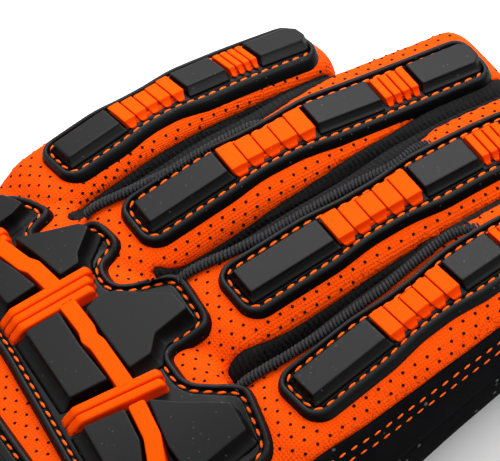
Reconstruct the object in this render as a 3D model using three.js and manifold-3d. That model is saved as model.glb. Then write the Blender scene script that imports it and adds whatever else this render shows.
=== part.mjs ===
// Impact work glove for a left hand, lying palm down on a flat surface in the shape of the hand.
// Millimetres. +X points to the thumb side, +Y to the fingertips, +Z up, and z = 0 is the surface.
// The origin of x and y while modelling is on the back of the hand, near the root of the ring finger.
// The group is moved at the end so that the origin lies under the middle of the glove.

import * as THREE from 'three';
import { mergeVertices } from 'three/addons/utils/BufferGeometryUtils.js';
import Module from 'manifold-3d';

const wasm = await Module();
wasm.setup();

const { degToRad, lerp } = THREE.MathUtils;

// Driving dimensions

const WALL = 1.8;
const SEAM_GAP = 0.3;
const SEAT_GAP = 0.3;
const CRUMB = 0.04;
const WELD = 0.001;

const GUARD_PLATE = 1.7;
const GUARD_LIP = 2.7;
const GUARD_LIP_WIDTH = 1.5;
const GUARD_GROOVE = 1.3;
const GUARD_BLOCK = 5.8;
const TIP_MARGIN = 3;
const BLOCK_TOP_WIDTH = 6.6;
const BLOCK_FOOT_FLARE = 1.5;
const BLOCK_END_DRAFT = 0.5;
const BLOCK_CORNER = 1;
const BLOCK_SINK = 0.5;

// Plan of a finger's guard: its corners, how much narrower it is beside the knuckle bars, and where
// that narrow stretch lies between them.
const GUARD_CORNER = 2.6;
const GUARD_END_GROOVE = 1.9;
const GUARD_WAIST = 1.2;
const WAIST_LEAD = 2;
const WAIST_SPAN = [0.3, 0.7];
const GUARD_TIP_NARROWING = 0.4;
const GUARD_TIP_CORNER = 3.2;

// Bars over the knuckle and ribs near the tip: which stretch of the finger they fill, and the width
// of each as a share of the blocks'.
const KNUCKLE_STRETCH = 1;
const RIB_STRETCH = 3;
const BAR_SHARES = [1.02, 0.86, 0.78, 0.86, 1.02];
const BAR_FOOT_FLARE = 1.4;
const BAR_GAP_SHARE = 0.07;
const BAR_BELOW_BLOCK = 0.3;
const BAR_CLEARANCE = 0.9;
const RIB_SHARES = [0.95, 0.95, 0.95, 0.95];
const RIB_GAP_SHARE = 0.16;
const DRAFT_SHARE = 0.6;
const STRIP_THICKNESS = 0.9;
const STRIP_WIDTH_SHARE = 0.8;
const STRIP_INSET_SHARE = 0.4;

const FINGER_SIDES = 12;
const FINGER_SIDES_INSIDE = 8;
const HAND_SIDES = 16;
const HAND_SIDES_INSIDE = 12;
const FINGER_ROUNDNESS = 2.3;
const HAND_ROUNDNESS = 3;
const HAND_SINK = 3;
const MITRE_LIMIT = 0.6;
const BACK_PANEL_SHARE = 0.82;
const TIP_WIDTH_SHARE = 0.87;
const PALM_SEAM_HEIGHT = 11.5;
const BACK_LOW = 18;
const FINGER_SEAM_BELOW_MIDDLE = 2;

const CROTCH_Y = -21;
const FINGER_ROOT_Y = -34;
const ROOT_DIP = 2.5;
const ROOT_DIP_START = -10;
const KNUCKLE_Y = -38;
const WRIST_Y = -118;
const CUFF_END_Y = -168;
const MOUTH_OVERCUT = 5;

// A finger's guard starts at x, y with its top at z. Splay turns it towards the thumb, and roll tips
// its thumb side down. The five stretches are: first block, knuckle bars, second block, ribs, tip block.
const FINGERS = [
  {
    name: 'pinky', x: -47.1, y: -17.6, z: 35.1, splay: -3.1, roll: -9,
    lengths: [13.0, 15.4, 9.8, 8.0, 11.5], pitches: [2.4, 10, 17.6, 19, 20.7],
    halfWidth: 11.2, rootThickness: 24, tipThickness: 17.5,
  },
  {
    name: 'ring', x: -18.8, y: -13.9, z: 38.5, splay: 1.3, roll: 0,
    lengths: [18.6, 20.1, 14.8, 9.0, 13.5], pitches: [-0.6, 8, 17.0, 16, 15.3],
    halfWidth: 12.5, rootThickness: 26, tipThickness: 19.5,
  },
  {
    name: 'middle', x: 9.7, y: -8.1, z: 38.5, splay: -0.4, roll: 3.5,
    lengths: [19.5, 20.3, 12.8, 9.0, 13.5], pitches: [3.6, 6.4, 9.2, 14, 18],
    halfWidth: 12.7, rootThickness: 26.5, tipThickness: 20,
  },
  {
    name: 'index', x: 37.3, y: -12.1, z: 37.3, splay: -4.3, roll: 0,
    lengths: [18.0, 17.7, 10.7, 9.0, 13.0], pitches: [-1.0, 2, 5.5, 14, 20],
    halfWidth: 12.9, rootThickness: 26.5, tipThickness: 20,
  },
];

// Past the end of the tip block the finger closes: distance past it and share of the full section.
const TIP_CLOSING = [
  { past: 0.5, share: 0.96 },
  { past: 4.6, share: 0.8 },
  { past: 7.2, share: 0.4 },
];

// The hand from the cuff's mouth to the roots of the fingers: edges on the pinky and thumb sides, and
// the heights of its top and bottom.
const HAND_SECTIONS = [
  { y: CUFF_END_Y, pinkySide: -51, thumbSide: 48, top: 31, bottom: 0 },
  { y: -140, pinkySide: -47, thumbSide: 45, top: 29.5, bottom: 0 },
  { y: WRIST_Y, pinkySide: -46, thumbSide: 44, top: 29.5, bottom: 0 },
  { y: -104, pinkySide: -49.5, thumbSide: 47, top: 31, bottom: 0 },
  { y: -82, pinkySide: -54.5, thumbSide: 51, top: 32.5, bottom: 0 },
  { y: -58, pinkySide: -57.5, thumbSide: 52.5, top: 33, bottom: 0 },
  { y: KNUCKLE_Y, pinkySide: -58.5, thumbSide: 51.5, top: 33, bottom: 0 },
  { y: CROTCH_Y - 4, pinkySide: -57.5, thumbSide: 50, top: 32.4, bottom: 3 },
  { y: CROTCH_Y, pinkySide: -54.5, thumbSide: 47.5, top: 30, bottom: 7 },
];

const THUMB_SECTIONS = [
  { x: 24, y: -94, z: 12, halfWidth: 14, halfHeight: 13 },
  { x: 44, y: -76, z: 13, halfWidth: 16, halfHeight: 13.5 },
  { x: 62, y: -61, z: 13.4, halfWidth: 15, halfHeight: 13.4 },
  { x: 76, y: -46, z: 13.2, halfWidth: 13.2, halfHeight: 13 },
  { x: 87, y: -31, z: 11.8, halfWidth: 12, halfHeight: 12 },
  { x: 92, y: -23, z: 10.8, halfWidth: 10.4, halfHeight: 10.6 },
  { x: 94.6, y: -18.8, z: 10.2, halfWidth: 7.4, halfHeight: 8 },
  { x: 95.6, y: -17, z: 10, halfWidth: 3.6, halfHeight: 4.5 },
];

// Outline of the knuckle guard, from the pinky's lobe along the finger side to the index's lobe, then
// back along the wrist side.
const KNUCKLE_OUTLINE = [
  [-50.5, -34], [-48.5, -30.5], [-39.5, -29.5], [-34.5, -26.4], [-32.2, -27.4], [-31, -32.2],
  [-28.4, -32], [-23.2, -22.3], [-21.4, -21], [-14.4, -20.6], [-12.8, -21.9], [-11, -26],
  [-5.4, -25.8], [-0.4, -17.2], [2, -15.8], [13, -16.4], [15, -18], [16.2, -26.9],
  [22.6, -27.6], [28.4, -20.6], [31, -19.5], [40.6, -21.8], [43.4, -24.2], [43.4, -38],
  [38.5, -50], [32, -55.2], [21.3, -54.8], [-9.7, -51.4], [-30, -51], [-44, -47],
];

// Tops of the guard's solid blocks, four lobes towards the fingers and four towards the wrist.
const KNUCKLE_BLOCKS = [
  [[-46.5, -36.6], [-45, -33.6], [-38.4, -32.2], [-37.6, -34.4], [-37.6, -38.2]],
  [[-31.2, -36.2], [-24.6, -24.6], [-22.6, -23.6], [-18.2, -28.6], [-16, -29.6], [-16, -33.9],
    [-24, -34.9]],
  [[-5.4, -34.1], [-7.2, -30.6], [-6.4, -27], [2.4, -18.6], [8.4, -18.9], [9.2, -27], [13.6, -30],
    [13.2, -34.9], [1.5, -34.6]],
  [[20.9, -35.8], [24, -31], [30.2, -23.2], [37.6, -24.4], [38.8, -38.4], [31.5, -38.2]],
  [[-44.6, -43.6], [-37.2, -43], [-37.2, -47], [-42.2, -46.6]],
  [[-29.7, -41.2], [-24, -39.9], [-17.3, -38.8], [-17.3, -46.6], [-28.6, -47.2]],
  [[-8.9, -46.8], [-8.4, -38.6], [1.2, -39.4], [11.9, -39.4], [10.4, -48]],
  [[17.9, -49.2], [19.8, -40.4], [27.4, -41.7], [34.6, -45.4], [34.4, -48.6], [30.6, -51.4]],
];

const KNUCKLE_BLOCK_HEIGHT = 6.8;
const KNUCKLE_RIB_HEIGHT = 6.2;
const CROSS_BAR_WIDTH = 1.9;
const RIB_WIDTH = 1.6;
const RIB_PITCH = 2.2;
const RIB_DRAFT = 0.15;
const BLOCK_DRAFT = 0.8;

// The raised cross bar zigzags between the two rows of blocks.
const CROSS_BAR = [
  [-42, -41.2], [-33, -39.5], [-23.5, -37.7], [-21.8, -36.9], [-15.8, -36.2], [-1.4, -36.5],
  [1.2, -37], [3.1, -36.6], [13.5, -37.3], [19.7, -38], [27.9, -39.4], [36.5, -43.4],
];

// Ribs that run between the columns: the middle of each group at its two ends, and their number.
const RIB_GROUPS = [
  { count: 2, start: [-34.6, -36.4], end: [-33.8, -46.6] },
  { count: 3, start: [-11.6, -30], end: [-13.1, -46.6] },
  { count: 2, start: [18.1, -31], end: [14.7, -47.8] },
];

// Pad between the knuckles and the wrist, with its own lip and two low raised fields.
const PAD_OUTLINE = [
  [-38, -62], [-33, -58.8], [26, -60.2], [30, -64], [25, -92], [20, -97], [-26, -97], [-31, -92],
];
const PAD_FIELDS = [
  [[-32, -65.5], [-2.5, -64], [-2.5, -90.5], [-26, -90.5]],
  [[1.5, -64], [24.6, -65.6], [20, -90.5], [1.5, -90.5]],
];
const PAD_FIELD_HEIGHT = 4.2;

const Z = new THREE.Vector3(0, 0, 1);

// Materials

function finish(color, roughness) {
  return new THREE.MeshStandardMaterial({ color, roughness, metalness: 0 });
}

const orangeCloth = finish(0xf95a0a, 0.9);
const blackKnit = finish(0x1c1c1e, 0.95);
const blackLeather = finish(0x222224, 0.75);
const blackRubber = finish(0x2c2c2e, 0.55);
const orangeRubber = finish(0xff6412, 0.5);

// Solids

function signedVolume(position, index) {
  const a = new THREE.Vector3();
  const b = new THREE.Vector3();
  const c = new THREE.Vector3();
  let volume = 0;
  for (let i = 0; i < index.length; i += 3) {
    a.fromArray(position, index[i] * 3);
    b.fromArray(position, index[i + 1] * 3);
    c.fromArray(position, index[i + 2] * 3);
    volume += a.dot(b.cross(c)) / 6;
  }
  return volume;
}

function toSolid(position, index) {
  const triangles = Uint32Array.from(index);
  if (signedVolume(position, index) < 0) {
    for (let i = 0; i < triangles.length; i += 3) {
      [triangles[i], triangles[i + 1]] = [triangles[i + 1], triangles[i]];
    }
  }
  const vertices = Float32Array.from(position);
  return new wasm.Manifold(new wasm.Mesh({ numProp: 3, vertProperties: vertices, triVerts: triangles }));
}

function geometrySolid(geometry) {
  geometry.deleteAttribute('normal');
  geometry.deleteAttribute('uv');
  const merged = mergeVertices(geometry, WELD);
  return toSolid(Array.from(merged.attributes.position.array), Array.from(merged.index.array));
}

// Triangles that fill a ring with no inward corner.
function fan(sides) {
  return Array.from({ length: sides - 2 }, (_, i) => [0, i + 1, i + 2]);
}

// Joins rings of equal length, each a list of points, into one closed body.
function loft(rings, ends = fan(rings[0].length)) {
  const sides = rings[0].length;
  const position = rings.flat().flatMap((point) => [point.x, point.y, point.z]);
  const index = [];
  for (let ring = 0; ring + 1 < rings.length; ring += 1) {
    for (let i = 0; i < sides; i += 1) {
      const a = ring * sides + i;
      const b = ring * sides + ((i + 1) % sides);
      index.push(a, b, b + sides, a, b + sides, a + sides);
    }
  }
  const last = (rings.length - 1) * sides;
  ends.forEach(([a, b, c]) => index.push(c, b, a, last + a, last + b, last + c));
  return toSolid(position, index);
}

// An upright prism over a plan outline.
function prism(outline, low, high) {
  const shape = new THREE.Shape(outline.map(([x, y]) => new THREE.Vector2(x, y)));
  const geometry = new THREE.ExtrudeGeometry(shape, { depth: high - low, bevelEnabled: false });
  geometry.translate(0, 0, low);
  return geometrySolid(geometry);
}

// Moves each side of an outline outwards by a distance, or inwards if it is negative.
function grown(outline, distance) {
  const area = THREE.ShapeUtils.area(outline.map(([x, y]) => new THREE.Vector2(x, y)));
  const turn = Math.sign(area);
  const count = outline.length;
  const normals = outline.map(([x, y], i) => {
    const [nextX, nextY] = outline[(i + 1) % count];
    return new THREE.Vector2(nextY - y, x - nextX).normalize().multiplyScalar(turn);
  });
  return outline.map(([x, y], i) => {
    const before = normals[(i + count - 1) % count];
    const after = normals[i];
    const middle = before.clone().add(after).normalize();
    const reach = distance / Math.max(middle.dot(after), MITRE_LIMIT);
    return [x + middle.x * reach, y + middle.y * reach];
  });
}

function joined(solids) {
  return solids.reduce((sum, solid) => sum.add(solid));
}

function geometryOf(solid) {
  const { numProp, vertProperties, triVerts } = solid.getMesh();
  const count = vertProperties.length / numProp;
  const position = new Float32Array(count * 3);
  for (let i = 0; i < count; i += 1) {
    position.set(vertProperties.subarray(i * numProp, i * numProp + 3), i * 3);
  }
  const geometry = new THREE.BufferGeometry();
  geometry.setAttribute('position', new THREE.BufferAttribute(position, 3));
  geometry.setIndex(Array.from(triVerts));
  return geometry;
}

// Keeps the one real piece of a cut, without the crumbs that a seam leaves at a corner.
function mainPiece(solid) {
  const pieces = geometrySolid(geometryOf(solid.simplify(CRUMB))).decompose();
  return pieces.reduce((best, piece) => (piece.volume() > best.volume() ? piece : best));
}

// Rings and sections

function rounded(value, exponent) {
  return Math.sign(value) * Math.abs(value) ** (2 / exponent);
}

// A rounded section about a centre, flattened where it would reach under the floor.
function sectionRing({ centre, side, up, halfWidth, halfHeight, exponent, sides, floor }) {
  return Array.from({ length: sides }, (_, i) => {
    const angle = ((i + 0.5) / sides) * 2 * Math.PI;
    const point = centre.clone();
    point.addScaledVector(side, halfWidth * rounded(Math.cos(angle), exponent));
    point.addScaledVector(up, halfHeight * rounded(Math.sin(angle), exponent));
    point.z = Math.max(point.z, floor);
    return point;
  });
}

// The point and directions of a finger's guard top at a distance s from the guard's start.
function alongFinger(finger, s) {
  const splay = degToRad(finger.splay);
  const heading = new THREE.Vector3(Math.sin(splay), Math.cos(splay), 0);
  const level = new THREE.Vector3(Math.cos(splay), -Math.sin(splay), 0);
  const point = new THREE.Vector3(finger.x, finger.y, finger.z);
  let left = s;
  let pitch = finger.pitches[0];
  if (s < 0) {
    point.addScaledVector(heading, s);
    pitch = 0;
    left = 0;
  }
  finger.lengths.forEach((length, i) => {
    if (left <= 0) return;
    const lastStretch = i === finger.lengths.length - 1;
    const step = lastStretch ? left : Math.min(left, length);
    pitch = finger.pitches[i];
    const slope = degToRad(pitch);
    point.addScaledVector(heading, step * Math.cos(slope));
    point.z -= step * Math.sin(slope);
    left -= step;
    const atJoint = left <= 1e-9 && step === length && !lastStretch;
    if (atJoint) pitch = (finger.pitches[i] + finger.pitches[i + 1]) / 2;
  });
  const slope = degToRad(pitch);
  const along = heading.clone().multiplyScalar(Math.cos(slope)).addScaledVector(Z, -Math.sin(slope));
  const upright = heading.clone().multiplyScalar(Math.sin(slope)).addScaledVector(Z, Math.cos(slope));
  const roll = degToRad(finger.roll);
  const side = level.clone().multiplyScalar(Math.cos(roll)).addScaledVector(upright, -Math.sin(roll));
  const up = upright.clone().multiplyScalar(Math.cos(roll)).addScaledVector(level, Math.sin(roll));
  return { point, along, side, up };
}

function guardLength(finger) {
  return finger.lengths.reduce((sum, length) => sum + length, 0);
}

// Distances from the guard's start to the start of each stretch.
function stretchStarts(finger) {
  return finger.lengths.map((_, i) => finger.lengths.slice(0, i).reduce((sum, length) => sum + length, 0));
}

function fingerThickness(finger, s) {
  const share = Math.min(Math.max(s / guardLength(finger), 0), 1);
  return lerp(finger.rootThickness, finger.tipThickness, share);
}

function fingerHalfWidth(finger, s) {
  const share = Math.min(Math.max(s / guardLength(finger), 0), 1);
  return finger.halfWidth * lerp(1, TIP_WIDTH_SHARE, share);
}

function fingerMiddle(finger, s) {
  const { point, up } = alongFinger(finger, s);
  const dip = s < ROOT_DIP_START ? ROOT_DIP : 0;
  return point.clone().addScaledVector(up, -GUARD_BLOCK - dip - fingerThickness(finger, s) / 2);
}

// Forms of the hand, grown or shrunk evenly from the outer face of the cloth

function fingerSides(grow) {
  return grow < 0 ? FINGER_SIDES_INSIDE : FINGER_SIDES;
}

function fingerForm(finger, grow) {
  const length = guardLength(finger);
  const stations = [FINGER_ROOT_Y - finger.y, ...stretchStarts(finger)].map((s) => ({ s, share: 1 }));
  TIP_CLOSING.forEach(({ past, share }) => stations.push({ s: length + past + grow, share }));
  const rings = stations.map(({ s, share }) => {
    const { side, up } = alongFinger(finger, s);
    return sectionRing({
      centre: fingerMiddle(finger, s), side, up,
      halfWidth: fingerHalfWidth(finger, s) * share + grow,
      halfHeight: (fingerThickness(finger, s) / 2) * share + grow,
      exponent: FINGER_ROUNDNESS, sides: fingerSides(grow), floor: -grow,
    });
  });
  return loft(rings);
}

function handHalfHeight(top) {
  return top / 2 + HAND_SINK;
}

function handForm(grow) {
  const mouth = grow < 0 ? MOUTH_OVERCUT : 0;
  const rings = HAND_SECTIONS.map(({ y, pinkySide, thumbSide, top, bottom }, i) => {
    const halfHeight = handHalfHeight(top);
    const tipEnd = i === HAND_SECTIONS.length - 1 ? grow : 0;
    const cuffEnd = i === 0 ? mouth : 0;
    return sectionRing({
      centre: new THREE.Vector3((pinkySide + thumbSide) / 2, y + tipEnd - cuffEnd, top - halfHeight),
      side: new THREE.Vector3(1, 0, 0), up: Z,
      halfWidth: (thumbSide - pinkySide) / 2 + grow, halfHeight: halfHeight + grow,
      exponent: HAND_ROUNDNESS, sides: grow < 0 ? HAND_SIDES_INSIDE : HAND_SIDES,
      floor: bottom - grow,
    });
  });
  return loft(rings);
}

function thumbForm(grow) {
  const centres = THUMB_SECTIONS.map(({ x, y, z }) => new THREE.Vector3(x, y, z));
  const last = centres.length - 1;
  const rings = THUMB_SECTIONS.map(({ halfWidth, halfHeight }, i) => {
    const along = centres[Math.min(i + 1, last)].clone().sub(centres[Math.max(i - 1, 0)]).normalize();
    const side = along.clone().cross(Z).normalize();
    const centre = centres[i].clone();
    if (i > last - 2) centre.addScaledVector(along, grow);
    return sectionRing({
      centre, side, up: side.clone().cross(along), halfWidth: halfWidth + grow,
      halfHeight: halfHeight + grow, exponent: FINGER_ROUNDNESS, sides: fingerSides(grow), floor: -grow,
    });
  });
  return loft(rings);
}

function gloveForm(grow) {
  return joined([handForm(grow), thumbForm(grow), ...FINGERS.map((finger) => fingerForm(finger, grow))]);
}

// Regions that the seams cut the shell into

const FAR = 130;
const LOW = -5;
const HIGH = 60;
const HAND_OVERLAP = 3;
const FINGER_CUT_HALF_WIDTH = 14.6;
const FINGER_CUT_REACH = 12;

// Everything under the side seams, which follow the middle of the hand and of each finger.
function underSeams(shift) {
  const top = CROTCH_Y + HAND_OVERLAP;
  const hand = prism([[-FAR, -2 * FAR], [FAR, -2 * FAR], [FAR, top], [-FAR, top]],
    LOW, PALM_SEAM_HEIGHT + shift);
  const fingers = FINGERS.map((finger) => {
    const length = guardLength(finger);
    const rootS = CROTCH_Y - finger.y;
    const stations = [rootS, ...stretchStarts(finger).slice(1), length, length + FINGER_CUT_REACH];
    return loft(stations.map((s) => {
      const { point, side } = alongFinger(finger, s);
      const own = fingerMiddle(finger, s).z - FINGER_SEAM_BELOW_MIDDLE;
      const height = (s < 0 ? PALM_SEAM_HEIGHT : own) + shift;
      const across = side.clone().setZ(0).normalize().multiplyScalar(FINGER_CUT_HALF_WIDTH);
      const left = point.clone().sub(across);
      const right = point.clone().add(across);
      return [left.clone().setZ(LOW), right.clone().setZ(LOW), right.clone().setZ(height),
        left.clone().setZ(height)];
    }));
  });
  return joined([hand, ...fingers]);
}

function planPoint(finger, s, t) {
  const { point, side } = alongFinger(finger, s);
  const across = side.clone().setZ(0).normalize();
  return [point.x + across.x * t, point.y + across.y * t];
}

const WEB_REACH = 9;
const WEB_DEPTH = 5;
const WEB_HALF_WIDTH = 2.4;
const WEB_START = { one: -4, next: -9 };

// Side walls between two neighbouring fingers, with the small web at their roots.
function betweenFingers(one, next, shift) {
  const reach = Math.max(guardLength(one), guardLength(next)) + WEB_REACH;
  const edge = (finger, s) => fingerHalfWidth(finger, s) * BACK_PANEL_SHARE - shift;
  const root = (planPoint(one, 0, edge(one, 0))[0] + planPoint(next, 0, -edge(next, 0))[0]) / 2;
  const rootY = CROTCH_Y - WEB_DEPTH - shift;
  const halfRoot = WEB_HALF_WIDTH + shift;
  return prism([
    planPoint(one, reach, edge(one, reach)), planPoint(one, WEB_START.one, edge(one, 0)),
    [root - halfRoot, rootY], [root + halfRoot, rootY],
    planPoint(next, WEB_START.next, -edge(next, 0)), planPoint(next, reach, -edge(next, reach)),
  ], LOW, HIGH);
}

const THUMB_WEB = [49, -43];
const THUMB_HEEL = [46.5, -112];
const THUMB_CLEAR_X = 57;
const THUMB_CLEAR_Y = -38;
const INDEX_ROOT_CORNER = [45, -29];
const INDEX_SIDE_REACH = 20;

function indexSide(shift) {
  const index = FINGERS.at(-1);
  const reach = guardLength(index) + INDEX_SIDE_REACH;
  const edge = (s) => fingerHalfWidth(index, s) * BACK_PANEL_SHARE - shift;
  const [webX, webY] = THUMB_WEB;
  const [cornerX, cornerY] = INDEX_ROOT_CORNER;
  return prism([
    planPoint(index, reach, edge(reach)), planPoint(index, 0, edge(0)), [cornerX - shift, cornerY],
    [webX - shift, webY - shift], [THUMB_CLEAR_X + shift, THUMB_CLEAR_Y - shift],
    [THUMB_CLEAR_X + shift, FAR],
  ], LOW, HIGH);
}

function thumbSide(shift) {
  const [webX, webY] = THUMB_WEB;
  const [heelX, heelY] = THUMB_HEEL;
  return prism([
    [webX - shift, webY + shift], [heelX - shift, heelY - shift], [FAR, heelY - shift],
    [FAR, 0], [THUMB_CLEAR_X - shift, 0], [THUMB_CLEAR_X - shift, THUMB_CLEAR_Y + shift],
  ], LOW, HIGH);
}

function wristSide(shift) {
  return prism([
    [-FAR, WRIST_Y + shift], [-FAR, -2 * FAR], [FAR, -2 * FAR], [FAR, WRIST_Y + shift],
  ], LOW, HIGH);
}

function shellPanels() {
  const half = SEAM_GAP / 2;
  const shell = gloveForm(0).subtract(gloveForm(-WALL));
  const hand = shell.subtract(wristSide(half));
  const upper = hand.subtract(underSeams(half));
  const pairs = FINGERS.slice(1).map((next, i) => [FINGERS[i], next]);
  const side = upper.intersect(indexSide(-half));
  const thumb = upper.intersect(thumbSide(-half));
  const back = [indexSide(half), thumbSide(half), ...pairs.map(([a, b]) => betweenFingers(a, b, half))]
    .reduce((rest, region) => rest.subtract(region), upper);
  return {
    back_panel: [back, orangeCloth],
    palm_panel: [hand.intersect(underSeams(-half)), blackLeather],
    index_side_panel: [side, blackLeather],
    thumb_back: [thumb, blackLeather],
    cuff: [shell.intersect(wristSide(-half)), blackKnit],
    ...Object.fromEntries(pairs.map(([a, b]) => [
      `fourchette_${a.name}_${b.name}`, [upper.intersect(betweenFingers(a, b, -half)), blackKnit],
    ])),
  };
}

// Guards

// A block with sloping sides: its top lies at the given heights, its foot is wider and lower.
function block(outline, flare, drop, heightAt) {
  const plan = outline.map(([x, y]) => new THREE.Vector2(x, y));
  const top = THREE.ShapeUtils.isClockWise(plan) ? [...outline].reverse() : outline;
  const ends = THREE.ShapeUtils.triangulateShape(top.map(([x, y]) => new THREE.Vector2(x, y)), []);
  const foot = grown(top, flare);
  const rings = [
    foot.map(([x, y]) => new THREE.Vector3(x, y, heightAt(x, y) - drop)),
    top.map(([x, y]) => new THREE.Vector3(x, y, heightAt(x, y))),
  ];
  return loft(rings, ends);
}

const NUDGE = 1e-3;

// The same in a finger's own directions: from s0 to s1, half width on top, height over the cloth.
function fingerBlock(finger, { s0, s1, halfWidth, foot, height, flare, draft, corner }) {
  const start = stretchStarts(finger).findLast((s) => s <= s0 + NUDGE);
  const { point, along, side, up } = alongFinger(finger, start + NUDGE);
  const at = (s, t, n) => point.clone().addScaledVector(along, s - start).addScaledVector(side, t)
    .addScaledVector(up, n - GUARD_BLOCK);
  const outline = (grow, endGrow) => {
    const w = halfWidth + grow;
    const a = s0 - endGrow;
    const b = s1 + endGrow;
    if (!corner) return [[a, -w], [a, w], [b, w], [b, -w]];
    return [[a, -w + corner], [a, w - corner], [a + corner, w], [b - corner, w],
      [b, w - corner], [b, -w + corner], [b - corner, -w], [a + corner, -w]];
  };
  return loft([
    outline(flare, draft).map(([s, t]) => at(s, t, foot)),
    outline(0, 0).map(([s, t]) => at(s, t, height)),
  ]);
}

// Plan outline of a finger's guard: full width beside the blocks, a waist beside the knuckle bars.
function fingerGuardOutline(finger, inset) {
  const [, bars, second] = stretchStarts(finger);
  const length = guardLength(finger);
  const full = BLOCK_TOP_WIDTH / 2 + BLOCK_FOOT_FLARE + GUARD_GROOVE + GUARD_LIP_WIDTH - inset;
  const margin = GUARD_END_GROOVE + GUARD_LIP_WIDTH - inset;
  const waist = full - GUARD_WAIST;
  const [waistStart, waistEnd] = WAIST_SPAN.map((share) => lerp(bars, second, share));
  const end = length + TIP_MARGIN;
  const half = [
    [-margin, full - GUARD_CORNER], [-margin + GUARD_CORNER, full], [bars - WAIST_LEAD, full],
    [waistStart, waist], [waistEnd, waist], [second + WAIST_LEAD, full],
    [end - GUARD_CORNER, full - GUARD_TIP_NARROWING], [end, full - GUARD_TIP_CORNER],
  ];
  const thumbSideEdge = half.map(([s, t]) => planPoint(finger, s, t));
  const pinkySideEdge = half.map(([s, t]) => planPoint(finger, s, -t)).reverse();
  return [...thumbSideEdge, ...pinkySideEdge];
}

// A plate with a raised lip all round, laid on a form of the hand and no lower than its middle.
function lippedPlate(outline, innerOutline, form, low) {
  const column = prism(outline, low, HIGH);
  const plate = column.intersect(form(GUARD_PLATE));
  const lip = column.subtract(prism(innerOutline, low, HIGH)).intersect(form(GUARD_LIP));
  const seat = form(SEAT_GAP);
  return { body: plate.add(lip).subtract(seat), seat };
}

function fingerGuard(finger) {
  const [first, , second, , tip] = stretchStarts(finger);
  const length = guardLength(finger);
  const form = (grow) => fingerForm(finger, grow);
  const { body, seat } = lippedPlate(fingerGuardOutline(finger, 0),
    fingerGuardOutline(finger, GUARD_LIP_WIDTH), form, fingerMiddle(finger, length).z);
  const spans = [[first, finger.lengths[0]], [second, second + finger.lengths[2]], [tip, length]];
  const blocks = spans.map(([s0, s1]) => fingerBlock(finger, {
    s0, s1, halfWidth: BLOCK_TOP_WIDTH / 2, foot: GUARD_PLATE - BLOCK_SINK, height: GUARD_BLOCK,
    flare: BLOCK_FOOT_FLARE, draft: BLOCK_END_DRAFT, corner: BLOCK_CORNER,
  }));
  return joined([body, ...blocks]).subtract(seat);
}

// Raised bars on a thin strip, between two blocks of a guard.
function barStrip(finger, stretch, shares, gapShare) {
  const stretchStart = stretchStarts(finger)[stretch];
  const start = stretchStart + BAR_CLEARANCE;
  const end = stretchStart + finger.lengths[stretch] - BAR_CLEARANCE;
  const pitch = (end - start) / shares.length;
  const halfWidth = BLOCK_TOP_WIDTH / 2;
  const foot = GUARD_PLATE + SEAT_GAP;
  const bars = shares.map((share, i) => fingerBlock(finger, {
    s0: start + pitch * (i + gapShare), s1: start + pitch * (i + 1 - gapShare),
    halfWidth: halfWidth * share, foot, height: GUARD_BLOCK - BAR_BELOW_BLOCK,
    flare: BAR_FOOT_FLARE, draft: pitch * gapShare * DRAFT_SHARE, corner: 0,
  }));
  const strip = fingerBlock(finger, {
    s0: start + pitch * STRIP_INSET_SHARE, s1: end - pitch * STRIP_INSET_SHARE,
    halfWidth: halfWidth * STRIP_WIDTH_SHARE, foot, height: foot + STRIP_THICKNESS,
    flare: 0, draft: 0, corner: 0,
  });
  return joined([...bars, strip]);
}

function handAndFingers(grow) {
  return joined([handForm(grow), ...FINGERS.map((finger) => fingerForm(finger, grow))]);
}

// Height of the cloth on the back of the hand at x, from the hand's section over the knuckles.
function backHeight(x) {
  const { pinkySide, thumbSide, top } = HAND_SECTIONS.find(({ y }) => y === KNUCKLE_Y);
  const halfHeight = handHalfHeight(top);
  const share = Math.abs(x - (pinkySide + thumbSide) / 2) / ((thumbSide - pinkySide) / 2);
  return top - halfHeight + halfHeight * (1 - share ** HAND_ROUNDNESS) ** (1 / HAND_ROUNDNESS);
}

function knuckleGuard() {
  const { body, seat } = lippedPlate(KNUCKLE_OUTLINE, grown(KNUCKLE_OUTLINE, -GUARD_LIP_WIDTH),
    handAndFingers, BACK_LOW);
  const blocks = KNUCKLE_BLOCKS.map((top) => block(top, BLOCK_DRAFT, KNUCKLE_BLOCK_HEIGHT,
    (x) => backHeight(x) + KNUCKLE_BLOCK_HEIGHT));
  return joined([body, ...blocks]).subtract(seat);
}

// The outline of a band of even width along a line of points.
function bandOutline(points, width) {
  const last = points.length - 1;
  const across = points.map((_, i) => {
    const [x0, y0] = points[Math.max(i - 1, 0)];
    const [x1, y1] = points[Math.min(i + 1, last)];
    return new THREE.Vector2(y0 - y1, x1 - x0).setLength(width / 2);
  });
  const left = points.map(([x, y], i) => [x + across[i].x, y + across[i].y]);
  const right = points.map(([x, y], i) => [x - across[i].x, y - across[i].y]);
  return [...left, ...right.reverse()];
}

function knuckleLattice() {
  const top = (x) => backHeight(x) + KNUCKLE_RIB_HEIGHT;
  const foot = GUARD_PLATE + SEAT_GAP;
  const raised = (outline) => block(outline, RIB_DRAFT, KNUCKLE_RIB_HEIGHT - foot, top);
  const bars = [raised(bandOutline(CROSS_BAR, CROSS_BAR_WIDTH))];
  RIB_GROUPS.forEach(({ count, start, end }) => {
    for (let i = 0; i < count; i += 1) {
      const shift = (i - (count - 1) / 2) * RIB_PITCH;
      const line = [start, end].map(([x, y]) => [x + shift, y]);
      bars.push(raised(bandOutline(line, RIB_WIDTH)));
    }
  });
  return joined(bars);
}

function wristPad() {
  const { body, seat } = lippedPlate(PAD_OUTLINE, grown(PAD_OUTLINE, -GUARD_LIP_WIDTH), handForm,
    BACK_LOW);
  const fields = PAD_FIELDS.map((outline) => prism(outline, BACK_LOW, HIGH)
    .intersect(handForm(PAD_FIELD_HEIGHT)));
  return joined([body, ...fields]).subtract(seat);
}

// Assembly

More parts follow.
